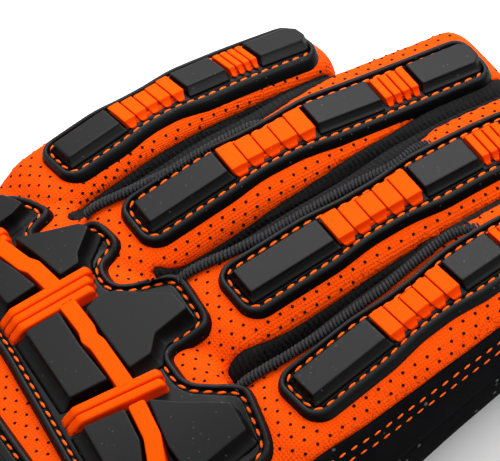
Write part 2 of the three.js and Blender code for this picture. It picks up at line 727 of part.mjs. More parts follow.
function meshOf(name, solid, material) {
  const geometry = geometryOf(mainPiece(solid));
  geometry.computeVertexNormals();
  const mesh = new THREE.Mesh(geometry, material);
  mesh.name = name;
  return mesh;
}

const glove = new THREE.Group();

Object.entries(shellPanels()).forEach(([name, [solid, material]]) => {
  glove.add(meshOf(name, solid, material));
});

FINGERS.forEach((finger) => {
  glove.add(meshOf(`${finger.name}_guard`, fingerGuard(finger), blackRubber));
  const knuckleBars = barStrip(finger, KNUCKLE_STRETCH, BAR_SHARES, BAR_GAP_SHARE);
  const tipRibs = barStrip(finger, RIB_STRETCH, RIB_SHARES, RIB_GAP_SHARE);
  glove.add(meshOf(`${finger.name}_knuckle_bars`, knuckleBars, orangeRubber));
  glove.add(meshOf(`${finger.name}_tip_ribs`, tipRibs, orangeRubber));
});

glove.add(meshOf('knuckle_guard', knuckleGuard(), blackRubber));
glove.add(meshOf('knuckle_lattice', knuckleLattice(), orangeRubber));
glove.add(meshOf('wrist_pad', wristPad(), blackRubber));

const box = new THREE.Box3().setFromObject(glove);
const middle = box.getCenter(new THREE.Vector3());
glove.position.set(-middle.x, -middle.y, -box.min.z);

export default glove;
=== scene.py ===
# %% [markdown]
# # Impact work glove
# The object is a left-hand work glove with an orange perforated knit back, a black leather palm and
# moulded rubber guards over the knuckles and fingers. It lies palm down in the filled shape of a hand.
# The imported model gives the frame, in metres. Each visible part is built around it in detail, and
# stands in for the plain solid that it replaces.

import math

import bpy
import numpy as np
from mathutils import Matrix, Vector
from mathutils.bvhtree import BVHTree
from mathutils.geometry import delaunay_2d_cdt


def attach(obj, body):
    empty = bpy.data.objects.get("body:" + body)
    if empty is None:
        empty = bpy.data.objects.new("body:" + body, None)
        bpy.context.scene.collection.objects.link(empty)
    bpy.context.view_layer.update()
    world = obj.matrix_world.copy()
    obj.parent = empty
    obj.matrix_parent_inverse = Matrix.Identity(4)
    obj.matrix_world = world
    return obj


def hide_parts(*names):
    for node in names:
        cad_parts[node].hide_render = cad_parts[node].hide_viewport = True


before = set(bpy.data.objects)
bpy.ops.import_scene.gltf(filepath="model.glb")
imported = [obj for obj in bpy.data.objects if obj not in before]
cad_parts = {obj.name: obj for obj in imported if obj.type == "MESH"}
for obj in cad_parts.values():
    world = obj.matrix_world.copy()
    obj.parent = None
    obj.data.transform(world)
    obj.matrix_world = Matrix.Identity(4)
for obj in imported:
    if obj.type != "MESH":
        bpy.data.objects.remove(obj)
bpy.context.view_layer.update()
scene = bpy.context.scene

# %% [markdown]
# ## Units and the modelling frame
# A glove is easier to think about in millimetres. All shapes are worked out in millimetres from a point
# on the back of the hand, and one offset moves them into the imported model's frame at the end.

# %% Units
MM = 0.001
OFFSET = np.array((-21.554, 49.539, 0.0))
UP = np.array((0.0, 0.0, 1.0))


def unit(vector):
    return vector / np.linalg.norm(vector, axis=-1, keepdims=True)


def smoothstep(value, low, high):
    share = np.clip((value - low) / (high - low), 0, 1)
    return share * share * (3 - 2 * share)


# %% [markdown]
# ## Camera
# The photo looks across the glove from the thumb side, at about 49 degrees above the surface, with the
# picture rolled so that the fingers point up to the right. A long lens far away keeps the guards nearly
# parallel, as in a product photo. The values come from matching the guards' corners to the photo.

# %% Camera
PHOTO_WIDTH = 500
PIXELS_PER_MM = 5.25
CAMERA_DISTANCE = 695
SENSOR = 36
elevation, swing, roll = (math.radians(angle) for angle in (49, 14, 23.3))
look = np.array((-math.cos(swing) * math.cos(elevation), math.sin(swing) * math.cos(elevation),
                 -math.sin(elevation)))
level = np.array((math.sin(swing), math.cos(swing), 0))
rise = np.cross(level, look)
picture_right = math.cos(roll) * level - math.sin(roll) * rise
picture_up = math.sin(roll) * level + math.cos(roll) * rise
TARGET_HEIGHT = 38
spot = (-CAMERA_DISTANCE * look + OFFSET + (0, 0, TARGET_HEIGHT)) * MM
camera_data = bpy.data.cameras.new("camera")
camera_data.sensor_width = SENSOR
camera_data.lens = PIXELS_PER_MM * CAMERA_DISTANCE / PHOTO_WIDTH * SENSOR
camera_data.clip_start = 0.05
camera = bpy.data.objects.new("camera", camera_data)
scene.collection.objects.link(camera)
turn = Matrix((picture_right, picture_up, -look)).transposed()
camera.matrix_world = Matrix.Translation(Vector(spot)) @ turn.to_4x4()
scene.camera = camera
print("camera at", [round(float(value), 4) for value in spot], "lens", round(camera_data.lens, 1))

# %% [markdown]
# ## Shader groups
# Several finishes share the same small effects: a fine grain, pale dust specks and the loops of a
# knit. Each is one node group with named inputs, placed in every material with its own values, so that
# a change to the effect reaches all of them.

# %% Small helpers for node trees


def add_node(tree, kind, inputs=None, **settings):
    node = tree.nodes.new(kind)
    for name, value in settings.items():
        setattr(node, name, value)
    for key, value in (inputs or {}).items():
        if isinstance(value, bpy.types.NodeSocket):
            tree.links.new(value, node.inputs[key])
        else:
            node.inputs[key].default_value = value
    return node


def math_node(tree, operation, first, second=0.0):
    return add_node(tree, "ShaderNodeMath", {0: first, 1: second}, operation=operation).outputs[0]


def new_group(name, inputs, outputs):
    tree = bpy.data.node_groups.new(name, "ShaderNodeTree")
    for label, kind, value in inputs:
        socket = tree.interface.new_socket(label, in_out="INPUT", socket_type=kind)
        socket.default_value = value
    for label, kind in outputs:
        tree.interface.new_socket(label, in_out="OUTPUT", socket_type=kind)
    return tree, tree.nodes.new("NodeGroupInput"), tree.nodes.new("NodeGroupOutput")


def span(tree, value, low, high, out_low=0.0, out_high=1.0):
    return add_node(tree, "ShaderNodeMapRange",
                    {0: value, 1: low, 2: high, 3: out_low, 4: out_high}).outputs[0]


# %% Grain: an even fine roughness, read from the place on the object
def grain_group():
    tree, given, result = new_group(
        "fine grain", [("Size mm", "NodeSocketFloat", 0.5), ("Detail", "NodeSocketFloat", 4.0)],
        [("Height", "NodeSocketFloat")])
    place = add_node(tree, "ShaderNodeTexCoord").outputs["Object"]
    per_metre = math_node(tree, "DIVIDE", 1000.0, given.outputs["Size mm"])
    noise = add_node(tree, "ShaderNodeTexNoise",
                     {"Vector": place, "Scale": per_metre, "Detail": given.outputs["Detail"],
                      "Roughness": 0.6})
    tree.links.new(noise.outputs[0], result.inputs["Height"])
    return tree


# %% Specks: sparse dots of lint, dust or open mesh
def speck_group():
    tree, given, result = new_group(
        "specks", [("Spacing mm", "NodeSocketFloat", 3.0), ("Amount", "NodeSocketFloat", 0.3)],
        [("Mask", "NodeSocketFloat")])
    place = add_node(tree, "ShaderNodeTexCoord").outputs["Object"]
    per_metre = math_node(tree, "DIVIDE", 1000.0, given.outputs["Spacing mm"])
    cells = add_node(tree, "ShaderNodeTexVoronoi", {"Vector": place, "Scale": per_metre})
    picked = math_node(tree, "LESS_THAN", add_node(
        tree, "ShaderNodeSeparateColor", {0: cells.outputs["Color"]}).outputs[0], given.outputs["Amount"])
    dot = span(tree, cells.outputs["Distance"], 0.1, 0.24, 1.0, 0.0)
    tree.links.new(math_node(tree, "MULTIPLY", picked, dot), result.inputs["Mask"])
    return tree


# %% Knit: rows of small loops that follow the cloth through its own UV map
UV_SPAN = 250.0


def knit_group():
    tree, given, result = new_group(
        "knit loops", [("Wale mm", "NodeSocketFloat", 0.8), ("Course mm", "NodeSocketFloat", 0.6)],
        [("Height", "NodeSocketFloat")])
    flat = add_node(tree, "ShaderNodeUVMap", uv_map="cloth").outputs[0]
    parts = add_node(tree, "ShaderNodeSeparateXYZ", {0: flat})
    across = math_node(tree, "DIVIDE", math_node(tree, "MULTIPLY", parts.outputs[0], UV_SPAN),
                       given.outputs["Wale mm"])
    along = math_node(tree, "DIVIDE", math_node(tree, "MULTIPLY", parts.outputs[1], UV_SPAN),
                      given.outputs["Course mm"])
    wale = math_node(tree, "PINGPONG", across, 0.5)
    slant = math_node(tree, "ADD", along, wale)
    course = math_node(tree, "PINGPONG", slant, 0.5)
    both = math_node(tree, "ADD", math_node(tree, "MULTIPLY", wale, 1.4),
                     math_node(tree, "MULTIPLY", course, 0.8))
    tree.links.new(both, result.inputs["Height"])
    return tree


GRAIN = grain_group()
SPECKS = speck_group()
KNIT = knit_group()

# %% [markdown]
# ## Finishes
# Each finish is a Principled shader fed by the groups. Rubber is satin with a fine mould texture, the
# knits are dull, and the leather is a matt suede with lint on it.

# %% Materials
# facing-up values over which rubber goes from painted side shade to painted top light
PAINTED_TOP_LIGHT_SPAN = (0.4, 0.93)
LINT_COLOUR = (0.2, 0.2, 0.2, 1)
LINT_STRENGTH = 0.35
KNIT_ROUGHNESS = 0.88
SUEDE_ROUGHNESS = 0.95
THREAD_ROUGHNESS = 0.7


def begin_material(name):
    material = bpy.data.materials.new(name)
    material.use_nodes = True
    tree = material.node_tree
    return material, tree, tree.nodes["Principled BSDF"]


def group_node(tree, group, **inputs):
    node = tree.nodes.new("ShaderNodeGroup")
    node.node_tree = group
    for label, value in inputs.items():
        node.inputs[label.replace("_", " ")].default_value = value
    return node.outputs[0]


def colour_mix(tree, factor, first, second):
    node = add_node(tree, "ShaderNodeMix", data_type="RGBA")
    for socket, value in ((0, factor), (6, first), (7, second)):
        if isinstance(value, bpy.types.NodeSocket):
            tree.links.new(value, node.inputs[socket])
        else:
            node.inputs[socket].default_value = value
    return node.outputs[2]


def add_bump(tree, shader, height, distance_mm, strength=1.0):
    bump = add_node(tree, "ShaderNodeBump",
                    {"Height": height, "Distance": distance_mm * MM, "Strength": strength})
    tree.links.new(bump.outputs[0], shader.inputs["Normal"])


def facing_up(tree):
    """1 where a surface lies level and faces up, 0 where it stands upright."""
    normal = add_node(tree, "ShaderNodeNewGeometry").outputs["Normal"]
    return add_node(tree, "ShaderNodeSeparateXYZ", {0: normal}).outputs[2]


def rubber(name, colour, shaded_side_colour, dust_colour, dust, roughness, gloss):
    """Moulded rubber with painted light: parts that face up get the lighter colour as painted light from
    above, the upright sides the darker colour as painted shade, with a little random unevenness. Pale
    specks of dust lie all over it.
    """
    material, tree, shader = begin_material(name)
    coarse = group_node(tree, GRAIN, Size_mm=9.0, Detail=3.0)
    fine = group_node(tree, GRAIN, Size_mm=0.28, Detail=2.0)
    # painted light and shade: faces that point up take the lit top colour, upright sides the painted shade
    # colour
    uneven = math_node(tree, "ADD", facing_up(tree), span(tree, coarse, 0.3, 0.7, -0.04, 0.04))
    painted_top_light = span(tree, uneven, *PAINTED_TOP_LIGHT_SPAN)
    shade = colour_mix(tree, painted_top_light, shaded_side_colour, colour)
    specks = group_node(tree, SPECKS, Spacing_mm=0.9, Amount=dust)
    tree.links.new(colour_mix(tree, specks, shade, dust_colour), shader.inputs["Base Color"])
    tree.links.new(span(tree, fine, 0.3, 0.7, roughness - 0.07, roughness + 0.07),
                   shader.inputs["Roughness"])
    shader.inputs["Specular IOR Level"].default_value = gloss
    add_bump(tree, shader, fine, 0.03, 0.35)
    return material


def knit(name, colour, dark, wale, course, depth, sheen):
    """Knitted cloth with a dark speckle. The speckle is painted stronger where the cloth slopes away from
    level, as painted shade, and the low parts of the loops are darkened as painted shade in their hollows.
    """
    material, tree, shader = begin_material(name)
    loops = group_node(tree, KNIT, Wale_mm=wale, Course_mm=course)
    fuzz = group_node(tree, GRAIN, Size_mm=0.35, Detail=3.0)
    pores = group_node(tree, GRAIN, Size_mm=0.42, Detail=0.0)
    patch = group_node(tree, GRAIN, Size_mm=6.0, Detail=2.0)
    shadow = math_node(tree, "MULTIPLY", span(tree, pores, 0.56, 0.66),
                       span(tree, patch, 0.35, 0.6, 0.25, 1.0))
    # painted shade: the dark speckle grows as the cloth slopes away from level
    painted_slope_shade = span(tree, facing_up(tree), 0.93, 0.5, 0.25, 1.0)
    # deep holds the speckle with its painted slope shade and the painted shade in the low parts of the
    # loops
    deep = math_node(tree, "MAXIMUM", math_node(tree, "MULTIPLY", shadow, painted_slope_shade),
                     math_node(tree, "MULTIPLY", span(tree, loops, 0.35, 0.05), 0.5))
    tree.links.new(colour_mix(tree, math_node(tree, "MULTIPLY", deep, 0.85), colour, dark),
                   shader.inputs["Base Color"])
    shader.inputs["Roughness"].default_value = KNIT_ROUGHNESS
    shader.inputs["Sheen Weight"].default_value = sheen
    shader.inputs["Sheen Roughness"].default_value = 0.5
    shader.inputs["Specular IOR Level"].default_value = 0.04
    add_bump(tree, shader, math_node(tree, "ADD", loops, math_node(tree, "MULTIPLY", fuzz, 0.6)), depth)
    return material


def suede(name, colour, pale):
    material, tree, shader = begin_material(name)
    nap = group_node(tree, GRAIN, Size_mm=0.3, Detail=5.0)
    patch = group_node(tree, GRAIN, Size_mm=7.0, Detail=3.0)
    lint = group_node(tree, SPECKS, Spacing_mm=2.1, Amount=0.16)
    shade = colour_mix(tree, span(tree, patch, 0.35, 0.65, 0.0, 0.5), colour, pale)
    tree.links.new(colour_mix(tree, math_node(tree, "MULTIPLY", lint, LINT_STRENGTH), shade, LINT_COLOUR),
                   shader.inputs["Base Color"])
    shader.inputs["Roughness"].default_value = SUEDE_ROUGHNESS
    shader.inputs["Specular IOR Level"].default_value = 0.03
    add_bump(tree, shader, nap, 0.12, 0.7)
    return material


def thread(name, colour, dark):
    material, tree, shader = begin_material(name)
    fibres = group_node(tree, GRAIN, Size_mm=0.22, Detail=3.0)
    tree.links.new(colour_mix(tree, span(tree, fibres, 0.35, 0.6), dark, colour),
                   shader.inputs["Base Color"])
    shader.inputs["Roughness"].default_value = THREAD_ROUGHNESS
    shader.inputs["Specular IOR Level"].default_value = 0.06
    add_bump(tree, shader, fibres, 0.08, 0.6)
    return material


# each rubber's side colour is painted shade for its upright sides; its main colour is the painted light on
# its tops
guard_rubber = rubber(
    "guard rubber", colour=(0.0105, 0.0105, 0.011, 1), shaded_side_colour=(0.0014, 0.0014, 0.0017, 1),
    dust_colour=(0.05, 0.05, 0.05, 1), dust=0.12, roughness=0.42, gloss=0.075)
accent_rubber = rubber(
    "accent rubber", colour=(0.74, 0.065, 0.0006, 1), shaded_side_colour=(0.66, 0.03, 0.0005, 1),
    dust_colour=(0.85, 0.1, 0.006, 1), dust=0.04, roughness=0.5, gloss=0.01)
orange_knit = knit("orange knit", (0.78, 0.062, 0.0008, 1), (0.25, 0.012, 0.002, 1),
                   wale=0.75, course=0.62, depth=0.12, sheen=0.0)
black_knit = knit("black knit", (0.012, 0.012, 0.013, 1), (0.002, 0.002, 0.002, 1),
                  wale=0.85, course=0.7, depth=0.3, sheen=0.02)
rib_knit = knit("black rib knit", (0.012, 0.012, 0.0125, 1), (0.001, 0.001, 0.001, 1),
                wale=6.0, course=1.1, depth=0.5, sheen=0.0)
black_suede = suede("black suede", (0.0025, 0.0025, 0.003, 1), (0.005, 0.005, 0.0055, 1))
orange_thread = thread("orange thread", (1.0, 0.15, 0.008, 1), (0.55, 0.045, 0.003, 1))
black_cord = thread("black cord", (0.035, 0.035, 0.037, 1), (0.004, 0.004, 0.0045, 1))
# the perforation colour is near black: painted shade for the dark inside seen through each hole
painted_hole_shade = thread("perforation", (0.006, 0.003, 0.002, 1), (0.002, 0.002, 0.002, 1))
print("materials:", len(bpy.data.materials))

# %% [markdown]
# ## The filled hand
# A glove keeps the form of the hand inside it. Each finger is a run of rounded sections along a line
# that bends a little at every joint, and the hand and thumb are made the same way. The far side of a
# finger is squarer, because the cloth there is pushed up against the edge of the guard.

# %% Fingers: where each guard starts, its turn and roll, and the lengths and slopes of its stretches
FINGERS = [
    {"name": "pinky", "start": (-47.1, -17.6, 35.1), "splay": -3.1, "roll": -9, "half_width": 11.2,
     "tip_share": 0.77, "root": 27, "tip": 20.5, "lengths": (13.0, 15.4, 9.8, 8.0, 11.5),
     "pitches": (2.4, 10, 17.6, 19, 20.7)},
    {"name": "ring", "start": (-18.8, -13.9, 38.5), "splay": 1.3, "roll": 0, "half_width": 12.5,
     "tip_share": 0.95, "root": 29, "tip": 22.5, "lengths": (18.6, 20.1, 14.8, 9.0, 13.5),
     "pitches": (-0.6, 8, 17.0, 16, 15.3)},
    {"name": "middle", "start": (9.7, -8.1, 38.5), "splay": -0.4, "roll": 3.5, "half_width": 12.7,
     "tip_share": 0.95, "root": 29.5, "tip": 23, "lengths": (19.5, 20.3, 12.8, 9.0, 13.5),
     "pitches": (3.6, 6.4, 9.2, 14, 18)},
    {"name": "index", "start": (37.3, -12.1, 37.3), "splay": -4.3, "roll": 0, "half_width": 12.9,
     "tip_share": 0.92, "root": 29.5, "tip": 23, "lengths": (18.0, 17.7, 10.7, 9.0, 13.0),
     "pitches": (-1.0, 2, 5.5, 14, 20)},
]
STEP = 0.5
BEFORE = 45
BEYOND = 20
GUARD_HEIGHT = 2.8
ROOT_DIP = 2.5
ROOT_DIP_SPAN = (-14, -6)
NEAR_ROUNDNESS = 3.2
FAR_ROUNDNESS = 6.5
FAR_GROWTH = 0.1
FAR_GROWTH_SPAN = (28, 44)
BEND_SOFTNESS = 3.0


def softened(values, width):
    reach = int(4 * width / STEP)
    weights = np.exp(-0.5 * (np.arange(-reach, reach + 1) * STEP / width) ** 2)
    padded = np.pad(values, reach, mode="edge")
    return np.convolve(padded, weights / weights.sum(), mode="valid")


class Finger:
    """The line of a finger's guard top, with its directions, at any distance s from the guard's start."""

    def __init__(self, facts):
        self.name = facts["name"]
        self.facts = facts
        self.start = np.array(facts["start"])
        self.length = sum(facts["lengths"])
        self.joints = np.concatenate([[0], np.cumsum(facts["lengths"])])
        splay, self.roll = math.radians(facts["splay"]), math.radians(facts["roll"])
        self.heading = np.array((math.sin(splay), math.cos(splay), 0))
        self.level = np.array((math.cos(splay), -math.sin(splay), 0))
        self.s = np.arange(-BEFORE, self.length + BEYOND, STEP)
        stretch = np.clip(np.searchsorted(self.joints, self.s, side="right") - 1, 0, 4)
        pitch = np.where(self.s < 0, 0, np.array(facts["pitches"])[stretch])
        self.pitch = np.radians(softened(pitch, BEND_SOFTNESS))
        zero = np.searchsorted(self.s, 0)
        plan = np.concatenate([[0], np.cumsum(np.cos(self.pitch[:-1]) * STEP)])
        drop = np.concatenate([[0], np.cumsum(np.sin(self.pitch[:-1]) * STEP)])
        self.plan, self.drop = plan - plan[zero], drop - drop[zero]

    def at(self, s):
        """Point on the guard's top line, and the directions along, to the thumb side and up."""
        s = np.asarray(s, float)
        pitch = np.interp(s, self.s, self.pitch)[..., None]
        point = self.start + np.interp(s, self.s, self.plan)[..., None] * self.heading \
            - np.interp(s, self.s, self.drop)[..., None] * UP
        along = np.cos(pitch) * self.heading - np.sin(pitch) * UP
        upright = np.sin(pitch) * self.heading + np.cos(pitch) * UP
        side = math.cos(self.roll) * self.level - math.sin(self.roll) * upright
        up = math.cos(self.roll) * upright + math.sin(self.roll) * self.level
        return point, along, side, up

    def share(self, s):
        return np.clip(np.asarray(s, float) / self.length, 0, 1)

    def half_width(self, s):
        return self.facts["half_width"] * (1 + (self.facts["tip_share"] - 1) * self.share(s))

    def growth(self, s):
        return 1 + FAR_GROWTH * smoothstep(np.asarray(s, float), *FAR_GROWTH_SPAN)

    def thickness(self, s):
        return self.facts["root"] + (self.facts["tip"] - self.facts["root"]) * self.share(s)

    def middle(self, s):
        point, _, _, up = self.at(s)
        dip = ROOT_DIP * (1 - smoothstep(np.asarray(s, float), *ROOT_DIP_SPAN))
        return point - up * (GUARD_HEIGHT + dip + self.thickness(s) / 2)[..., None]

    def local(self, points):
        """Distance along the finger and to its thumb side, seen from above."""
        away = points[:, :2] - self.start[:2]
        plan = away @ self.heading[:2]
        return np.interp(plan, self.plan, self.s), away @ self.level[:2]

    def place(self, s, t):
        """Plan point at distance s along and t to the thumb side."""
        point, _, side, _ = self.at(s)
        return point[..., :2] + unit(side[..., :2]) * np.asarray(t, float)[..., None]


fingers = [Finger(facts) for facts in FINGERS]

# %% Sections: a rounded ring of points about a centre
SECTION_POINTS = 72
PLAIN_ROUNDNESS = 2.3


def section(centre, side, up, half_width, half_height, far=PLAIN_ROUNDNESS, near=PLAIN_ROUNDNESS,
            floor=0.0, growth=1.0):
    """A rounded ring. far and near set how square each upper side is, growth widens the far side."""
    angle = (np.arange(SECTION_POINTS) + 0.5) / SECTION_POINTS * 2 * np.pi
    across, rise = np.cos(angle), np.sin(angle)
    power = np.where((across < 0) & (rise > 0), far, near)
    across = np.sign(across) * np.abs(across) ** (2 / power) * half_width
    across = np.where(across < 0, across * growth, across)
    rise = np.sign(rise) * np.abs(rise) ** (2 / power) * half_height
    ring_points = centre + across[:, None] * side + rise[:, None] * up
    ring_points[:, 2] = np.maximum(ring_points[:, 2], floor)
    return ring_points


def tube(rings):
    """One closed body through rings of equal count."""
    count, sides = len(rings), len(rings[0])
    faces = []
    for r in range(count - 1):
        for i in range(sides):
            j = (i + 1) % sides
            faces.append((r * sides + i, r * sides + j, (r + 1) * sides + j, (r + 1) * sides + i))
    faces.append(tuple(reversed(range(sides))))
    faces.append(tuple(range((count - 1) * sides, count * sides)))
    return np.vstack(rings), faces


TIP_REACH = 6.0
TIP_SQUARENESS = 0.55
TIP_RINGS = 10
TIP_OPENING = 0.12
RING_STEP = 2.0
FINGER_ROOT_Y = -34


def finger_ring(finger, s, share=1.0):
    _, _, side, up = finger.at(s)
    return section(finger.middle(s), side, up, finger.half_width(s) * share,
                   finger.thickness(s) / 2 * share, far=FAR_ROUNDNESS, near=NEAR_ROUNDNESS,
                   growth=finger.growth(s))


def finger_tube(finger):
    stations = np.arange(FINGER_ROOT_Y - finger.start[1], finger.length, RING_STEP)
    rings = [finger_ring(finger, s) for s in stations]
    for turn_angle in np.linspace(0, np.pi / 2 - TIP_OPENING, TIP_RINGS):
        s = finger.length + TIP_REACH * math.sin(turn_angle)
        rings.append(finger_ring(finger, s, math.cos(turn_angle) ** TIP_SQUARENESS))
    return tube(rings)


# %% The hand and the thumb
HAND_SECTIONS = np.array([
    (-168, -51, 48, 31, 0), (-140, -47, 45, 29.5, 0), (-118, -46, 44, 29.5, 0),
    (-104, -49.5, 47, 31.5, 0), (-82, -54.5, 51, 34, 0), (-58, -57.5, 52.5, 36, 0),
    (-38, -58.5, 51.5, 36, 0), (-25, -57.5, 50, 35.4, 3), (-21, -54.5, 47.5, 33, 7)])
THUMB_SECTIONS = np.array([
    (24, -94, 12, 14, 13), (44, -76, 13, 16, 13.5), (62, -61, 13.4, 15, 13.4),
    (76, -46, 13.2, 13.2, 13), (87, -31, 11.8, 12, 12), (92, -23, 10.8, 10.4, 10.6),
    (94.6, -18.8, 10.2, 7.4, 8), (95.8, -16.8, 10, 3.0, 3.6)])
HAND_ROUNDNESS = 3.0
HAND_FAR_ROUNDNESS = 2.4
HAND_SINK = 3.0
HAND_RINGS = 60
THUMB_RINGS = 44


def curved_table(table, count):
    """Values of a table at even steps, on smooth curves through its rows."""
    rows = np.vstack([2 * table[0] - table[1], table, 2 * table[-1] - table[-2]])
    place = np.linspace(0, len(table) - 1 - 1e-6, count)
    first = place.astype(int)
    t = (place - first)[:, None]
    a, b, c, d = (rows[first + i] for i in range(4))
    return 0.5 * (2 * b + (c - a) * t + (2 * a - 5 * b + 4 * c - d) * t ** 2
                  + (3 * b - a - 3 * c + d) * t ** 3)


def hand_tube():
    rings = []
    for y, low_x, high_x, top, bottom in curved_table(HAND_SECTIONS, HAND_RINGS):
        half = top / 2 + HAND_SINK
        centre = np.array(((low_x + high_x) / 2, y, top - half))
        rings.append(section(centre, np.array((1.0, 0, 0)), UP, (high_x - low_x) / 2, half,
                             far=HAND_FAR_ROUNDNESS, near=HAND_ROUNDNESS, floor=max(bottom, 0)))
    return tube(rings)


def thumb_tube():
    table = curved_table(THUMB_SECTIONS, THUMB_RINGS)
    centres = table[:, :3]
    directions = unit(np.gradient(centres, axis=0))
    rings = []
    for centre, along, (half_width, half_height) in zip(centres, directions, table[:, 3:]):
        side = unit(np.cross(along, UP))
        rings.append(section(centre, side, np.cross(side, along), half_width, half_height))
    return tube(rings)


# %% [markdown]
# ## One skin from many tubes
# Six closed tubes overlap at the roots of the fingers and thumb. A voxel remesh joins them into one
# even skin, and a few rounds of smoothing turn the creases between them into the soft webs of a glove.

# %% The skin
VOXEL = 0.9
SMOOTHING_ROUNDS = 7
SMOOTHING_PULLS = (0.55, -0.5)


def mesh_object(name, points, faces, material=None):
    mesh = bpy.data.meshes.new(name)
    mesh.from_pydata(((np.asarray(points) + OFFSET) * MM).tolist(), [], [list(face) for face in faces])
    mesh.polygons.foreach_set("use_smooth", [True] * len(mesh.polygons))
    if material:
        mesh.materials.append(material)
    mesh.update()
    obj = bpy.data.objects.new(name, mesh)
    scene.collection.objects.link(obj)
    return obj


def applied(obj):
    """The object's mesh with its modifiers carried out, as a plain mesh on the same object."""
    graph = bpy.context.evaluated_depsgraph_get()
    graph.update()
    mesh = bpy.data.meshes.new_from_object(obj.evaluated_get(graph))
    old = obj.data
    obj.modifiers.clear()
    obj.data = mesh
    mesh.name = obj.name
    bpy.data.meshes.remove(old)
    return obj


def read_mesh(obj):
    mesh = obj.data
    mesh.calc_loop_triangles()
    points = np.empty(len(mesh.vertices) * 3)
    mesh.vertices.foreach_get("co", points)
    tris = np.empty(len(mesh.loop_triangles) * 3, dtype=np.int32)
    mesh.loop_triangles.foreach_get("vertices", tris)
    return points.reshape(-1, 3) / MM - OFFSET, tris.reshape(-1, 3)


def directed_edges(tris):
    return np.vstack([tris[:, [0, 1]], tris[:, [1, 2]], tris[:, [2, 0]]])


def smoothed(points, tris, rounds):
    edges = np.unique(np.sort(directed_edges(tris), axis=1), axis=0)
    count = np.bincount(edges.ravel(), minlength=len(points))[:, None]
    for _ in range(rounds):
        for pull in SMOOTHING_PULLS:
            total = np.zeros_like(points)
            np.add.at(total, edges[:, 0], points[edges[:, 1]])
            np.add.at(total, edges[:, 1], points[edges[:, 0]])
            points = points + pull * (total / count - points)
    return points


def merged(bodies):
    points, faces, base = [], [], 0
    for body_points, body_faces in bodies:
        points.append(body_points)
        faces.extend([corner + base for corner in face] for face in body_faces)
        base += len(body_points)
    return np.vstack(points), faces


def skin_mesh():
    bodies = [hand_tube(), thumb_tube(), *(finger_tube(finger) for finger in fingers)]
    obj = mesh_object("skin", *merged(bodies))
    remesh = obj.modifiers.new("join", "REMESH")
    remesh.mode = "VOXEL"
    remesh.voxel_size = VOXEL * MM
    skin_points, tris = read_mesh(applied(obj))
    bpy.data.objects.remove(obj)
    return smoothed(skin_points, tris, SMOOTHING_ROUNDS), tris


skin_points, skin_tris = skin_mesh()
skin_points[:, 2] = np.maximum(skin_points[:, 2], 0)
skin_tree = BVHTree.FromPolygons(skin_points.tolist(), skin_tris.tolist())
print("skin:", len(skin_points), "points", skin_points.min(0).round(1), skin_points.max(0).round(1))

# %% Dropping a point on the skin
RAY_START = 25.0


def on_skin(points, up=UP):
    """Points moved along -up until they lie on the skin."""
    points = np.atleast_2d(np.asarray(points, float))
    ups = np.broadcast_to(up, points.shape)
    result = points.copy()
    for i, (point, direction) in enumerate(zip(points, ups)):
        hit = skin_tree.ray_cast(Vector(point + direction * RAY_START), Vector(-direction))
        if hit[0] is None:
            hit = skin_tree.find_nearest(Vector(point))
        result[i] = hit[0]
    return result


def on_finger(finger, s, t):
    """Points on the finger's cloth under its guard's own directions."""
    point, _, side, up = finger.at(s)
    return on_skin(point + side * np.asarray(t, float)[..., None], up)


# %% [markdown]
# ## Panels
# A glove is sewn from flat panels. Each seam is a line seen from above, or a height on the side of the
# hand, so every panel is the part of the skin where a few distances are positive. The skin is cut
# exactly where a distance is zero, and gets its thickness inwards.

# %% Plan distances and the seams
WRIST_Y = -118
MOUTH_Y = -167
PALM_SEAM = 11.5
NEAR_SEAMS = {"pinky": ((-10, 0.86), (0, 0.99), (17, 1.0), (30, 1.03), (60, 1.03)),
              "ring": ((-8, 0.78), (0, 0.91), (16, 0.93), (30, 0.88), (36, 0.86), (43, 0.78), (53, 0.7),
                       (62, 0.56), (80, 0.5)),
              "middle": ((-8, 0.73), (0, 0.84), (16, 0.84), (30, 0.81), (80, 0.78))}
FAR_SEAMS = {"ring": ((-7, 0.92), (2, 0.74), (10, 0.62), (32, 0.6), (42, 0.78), (52, 1.0), (90, 1.02)),
             "middle": ((-7, 1.0), (2, 0.8), (10, 0.7), (30, 0.68), (38, 0.62), (42, 0.66), (50, 0.92),
                        (90, 1.02)),
             "index": ((-7, 1.0), (2, 0.82), (10, 0.74), (25, 0.72), (42, 0.85), (90, 1.0))}
FAR = 140


def rounded_outline(outline, rounds=2, keep=0.25):
    points = np.asarray(outline, float)
    for _ in range(rounds):
        after = np.roll(points, -1, axis=0)
        points = np.stack([points * (1 - keep) + after * keep, points * keep + after * (1 - keep)],
                          axis=1).reshape(-1, 2)
    return points


def plan_distance(points, outline):
    """Distance from an outline seen from above, positive inside it."""
    flat = points[:, :2]
    best = np.full(len(flat), np.inf)
    inside = np.zeros(len(flat), bool)
    for a, b in zip(outline, np.roll(outline, -1, axis=0)):
        edge = b - a
        away = flat - a
        t = np.clip(away @ edge / max(edge @ edge, 1e-9), 0, 1)
        best = np.minimum(best, ((away - t[:, None] * edge) ** 2).sum(1))
        crosses = (a[1] > flat[:, 1]) != (b[1] > flat[:, 1])
        slope = (b[0] - a[0]) / (b[1] - a[1]) if b[1] != a[1] else 0.0
        inside ^= crosses & (flat[:, 0] < a[0] + (flat[:, 1] - a[1]) * slope)
    return np.where(inside, 1, -1) * np.sqrt(best)


def seam_distance(seams, finger, s):
    """Distance from the finger's middle line to the seam on one of its sides."""
    places, shares = zip(*seams[finger.name])
    return finger.half_width(s) * np.interp(s, places, shares)


WEB_START = 6
WEB_STEPS = 16
WEB_REACH = 14
WEB_HALF_WIDTH = 1.9
WEB_ENDS = {"pinky": (-33.2, -24.4), "ring": (-8.4, -18.6), "middle": (20.2, -19.6)}


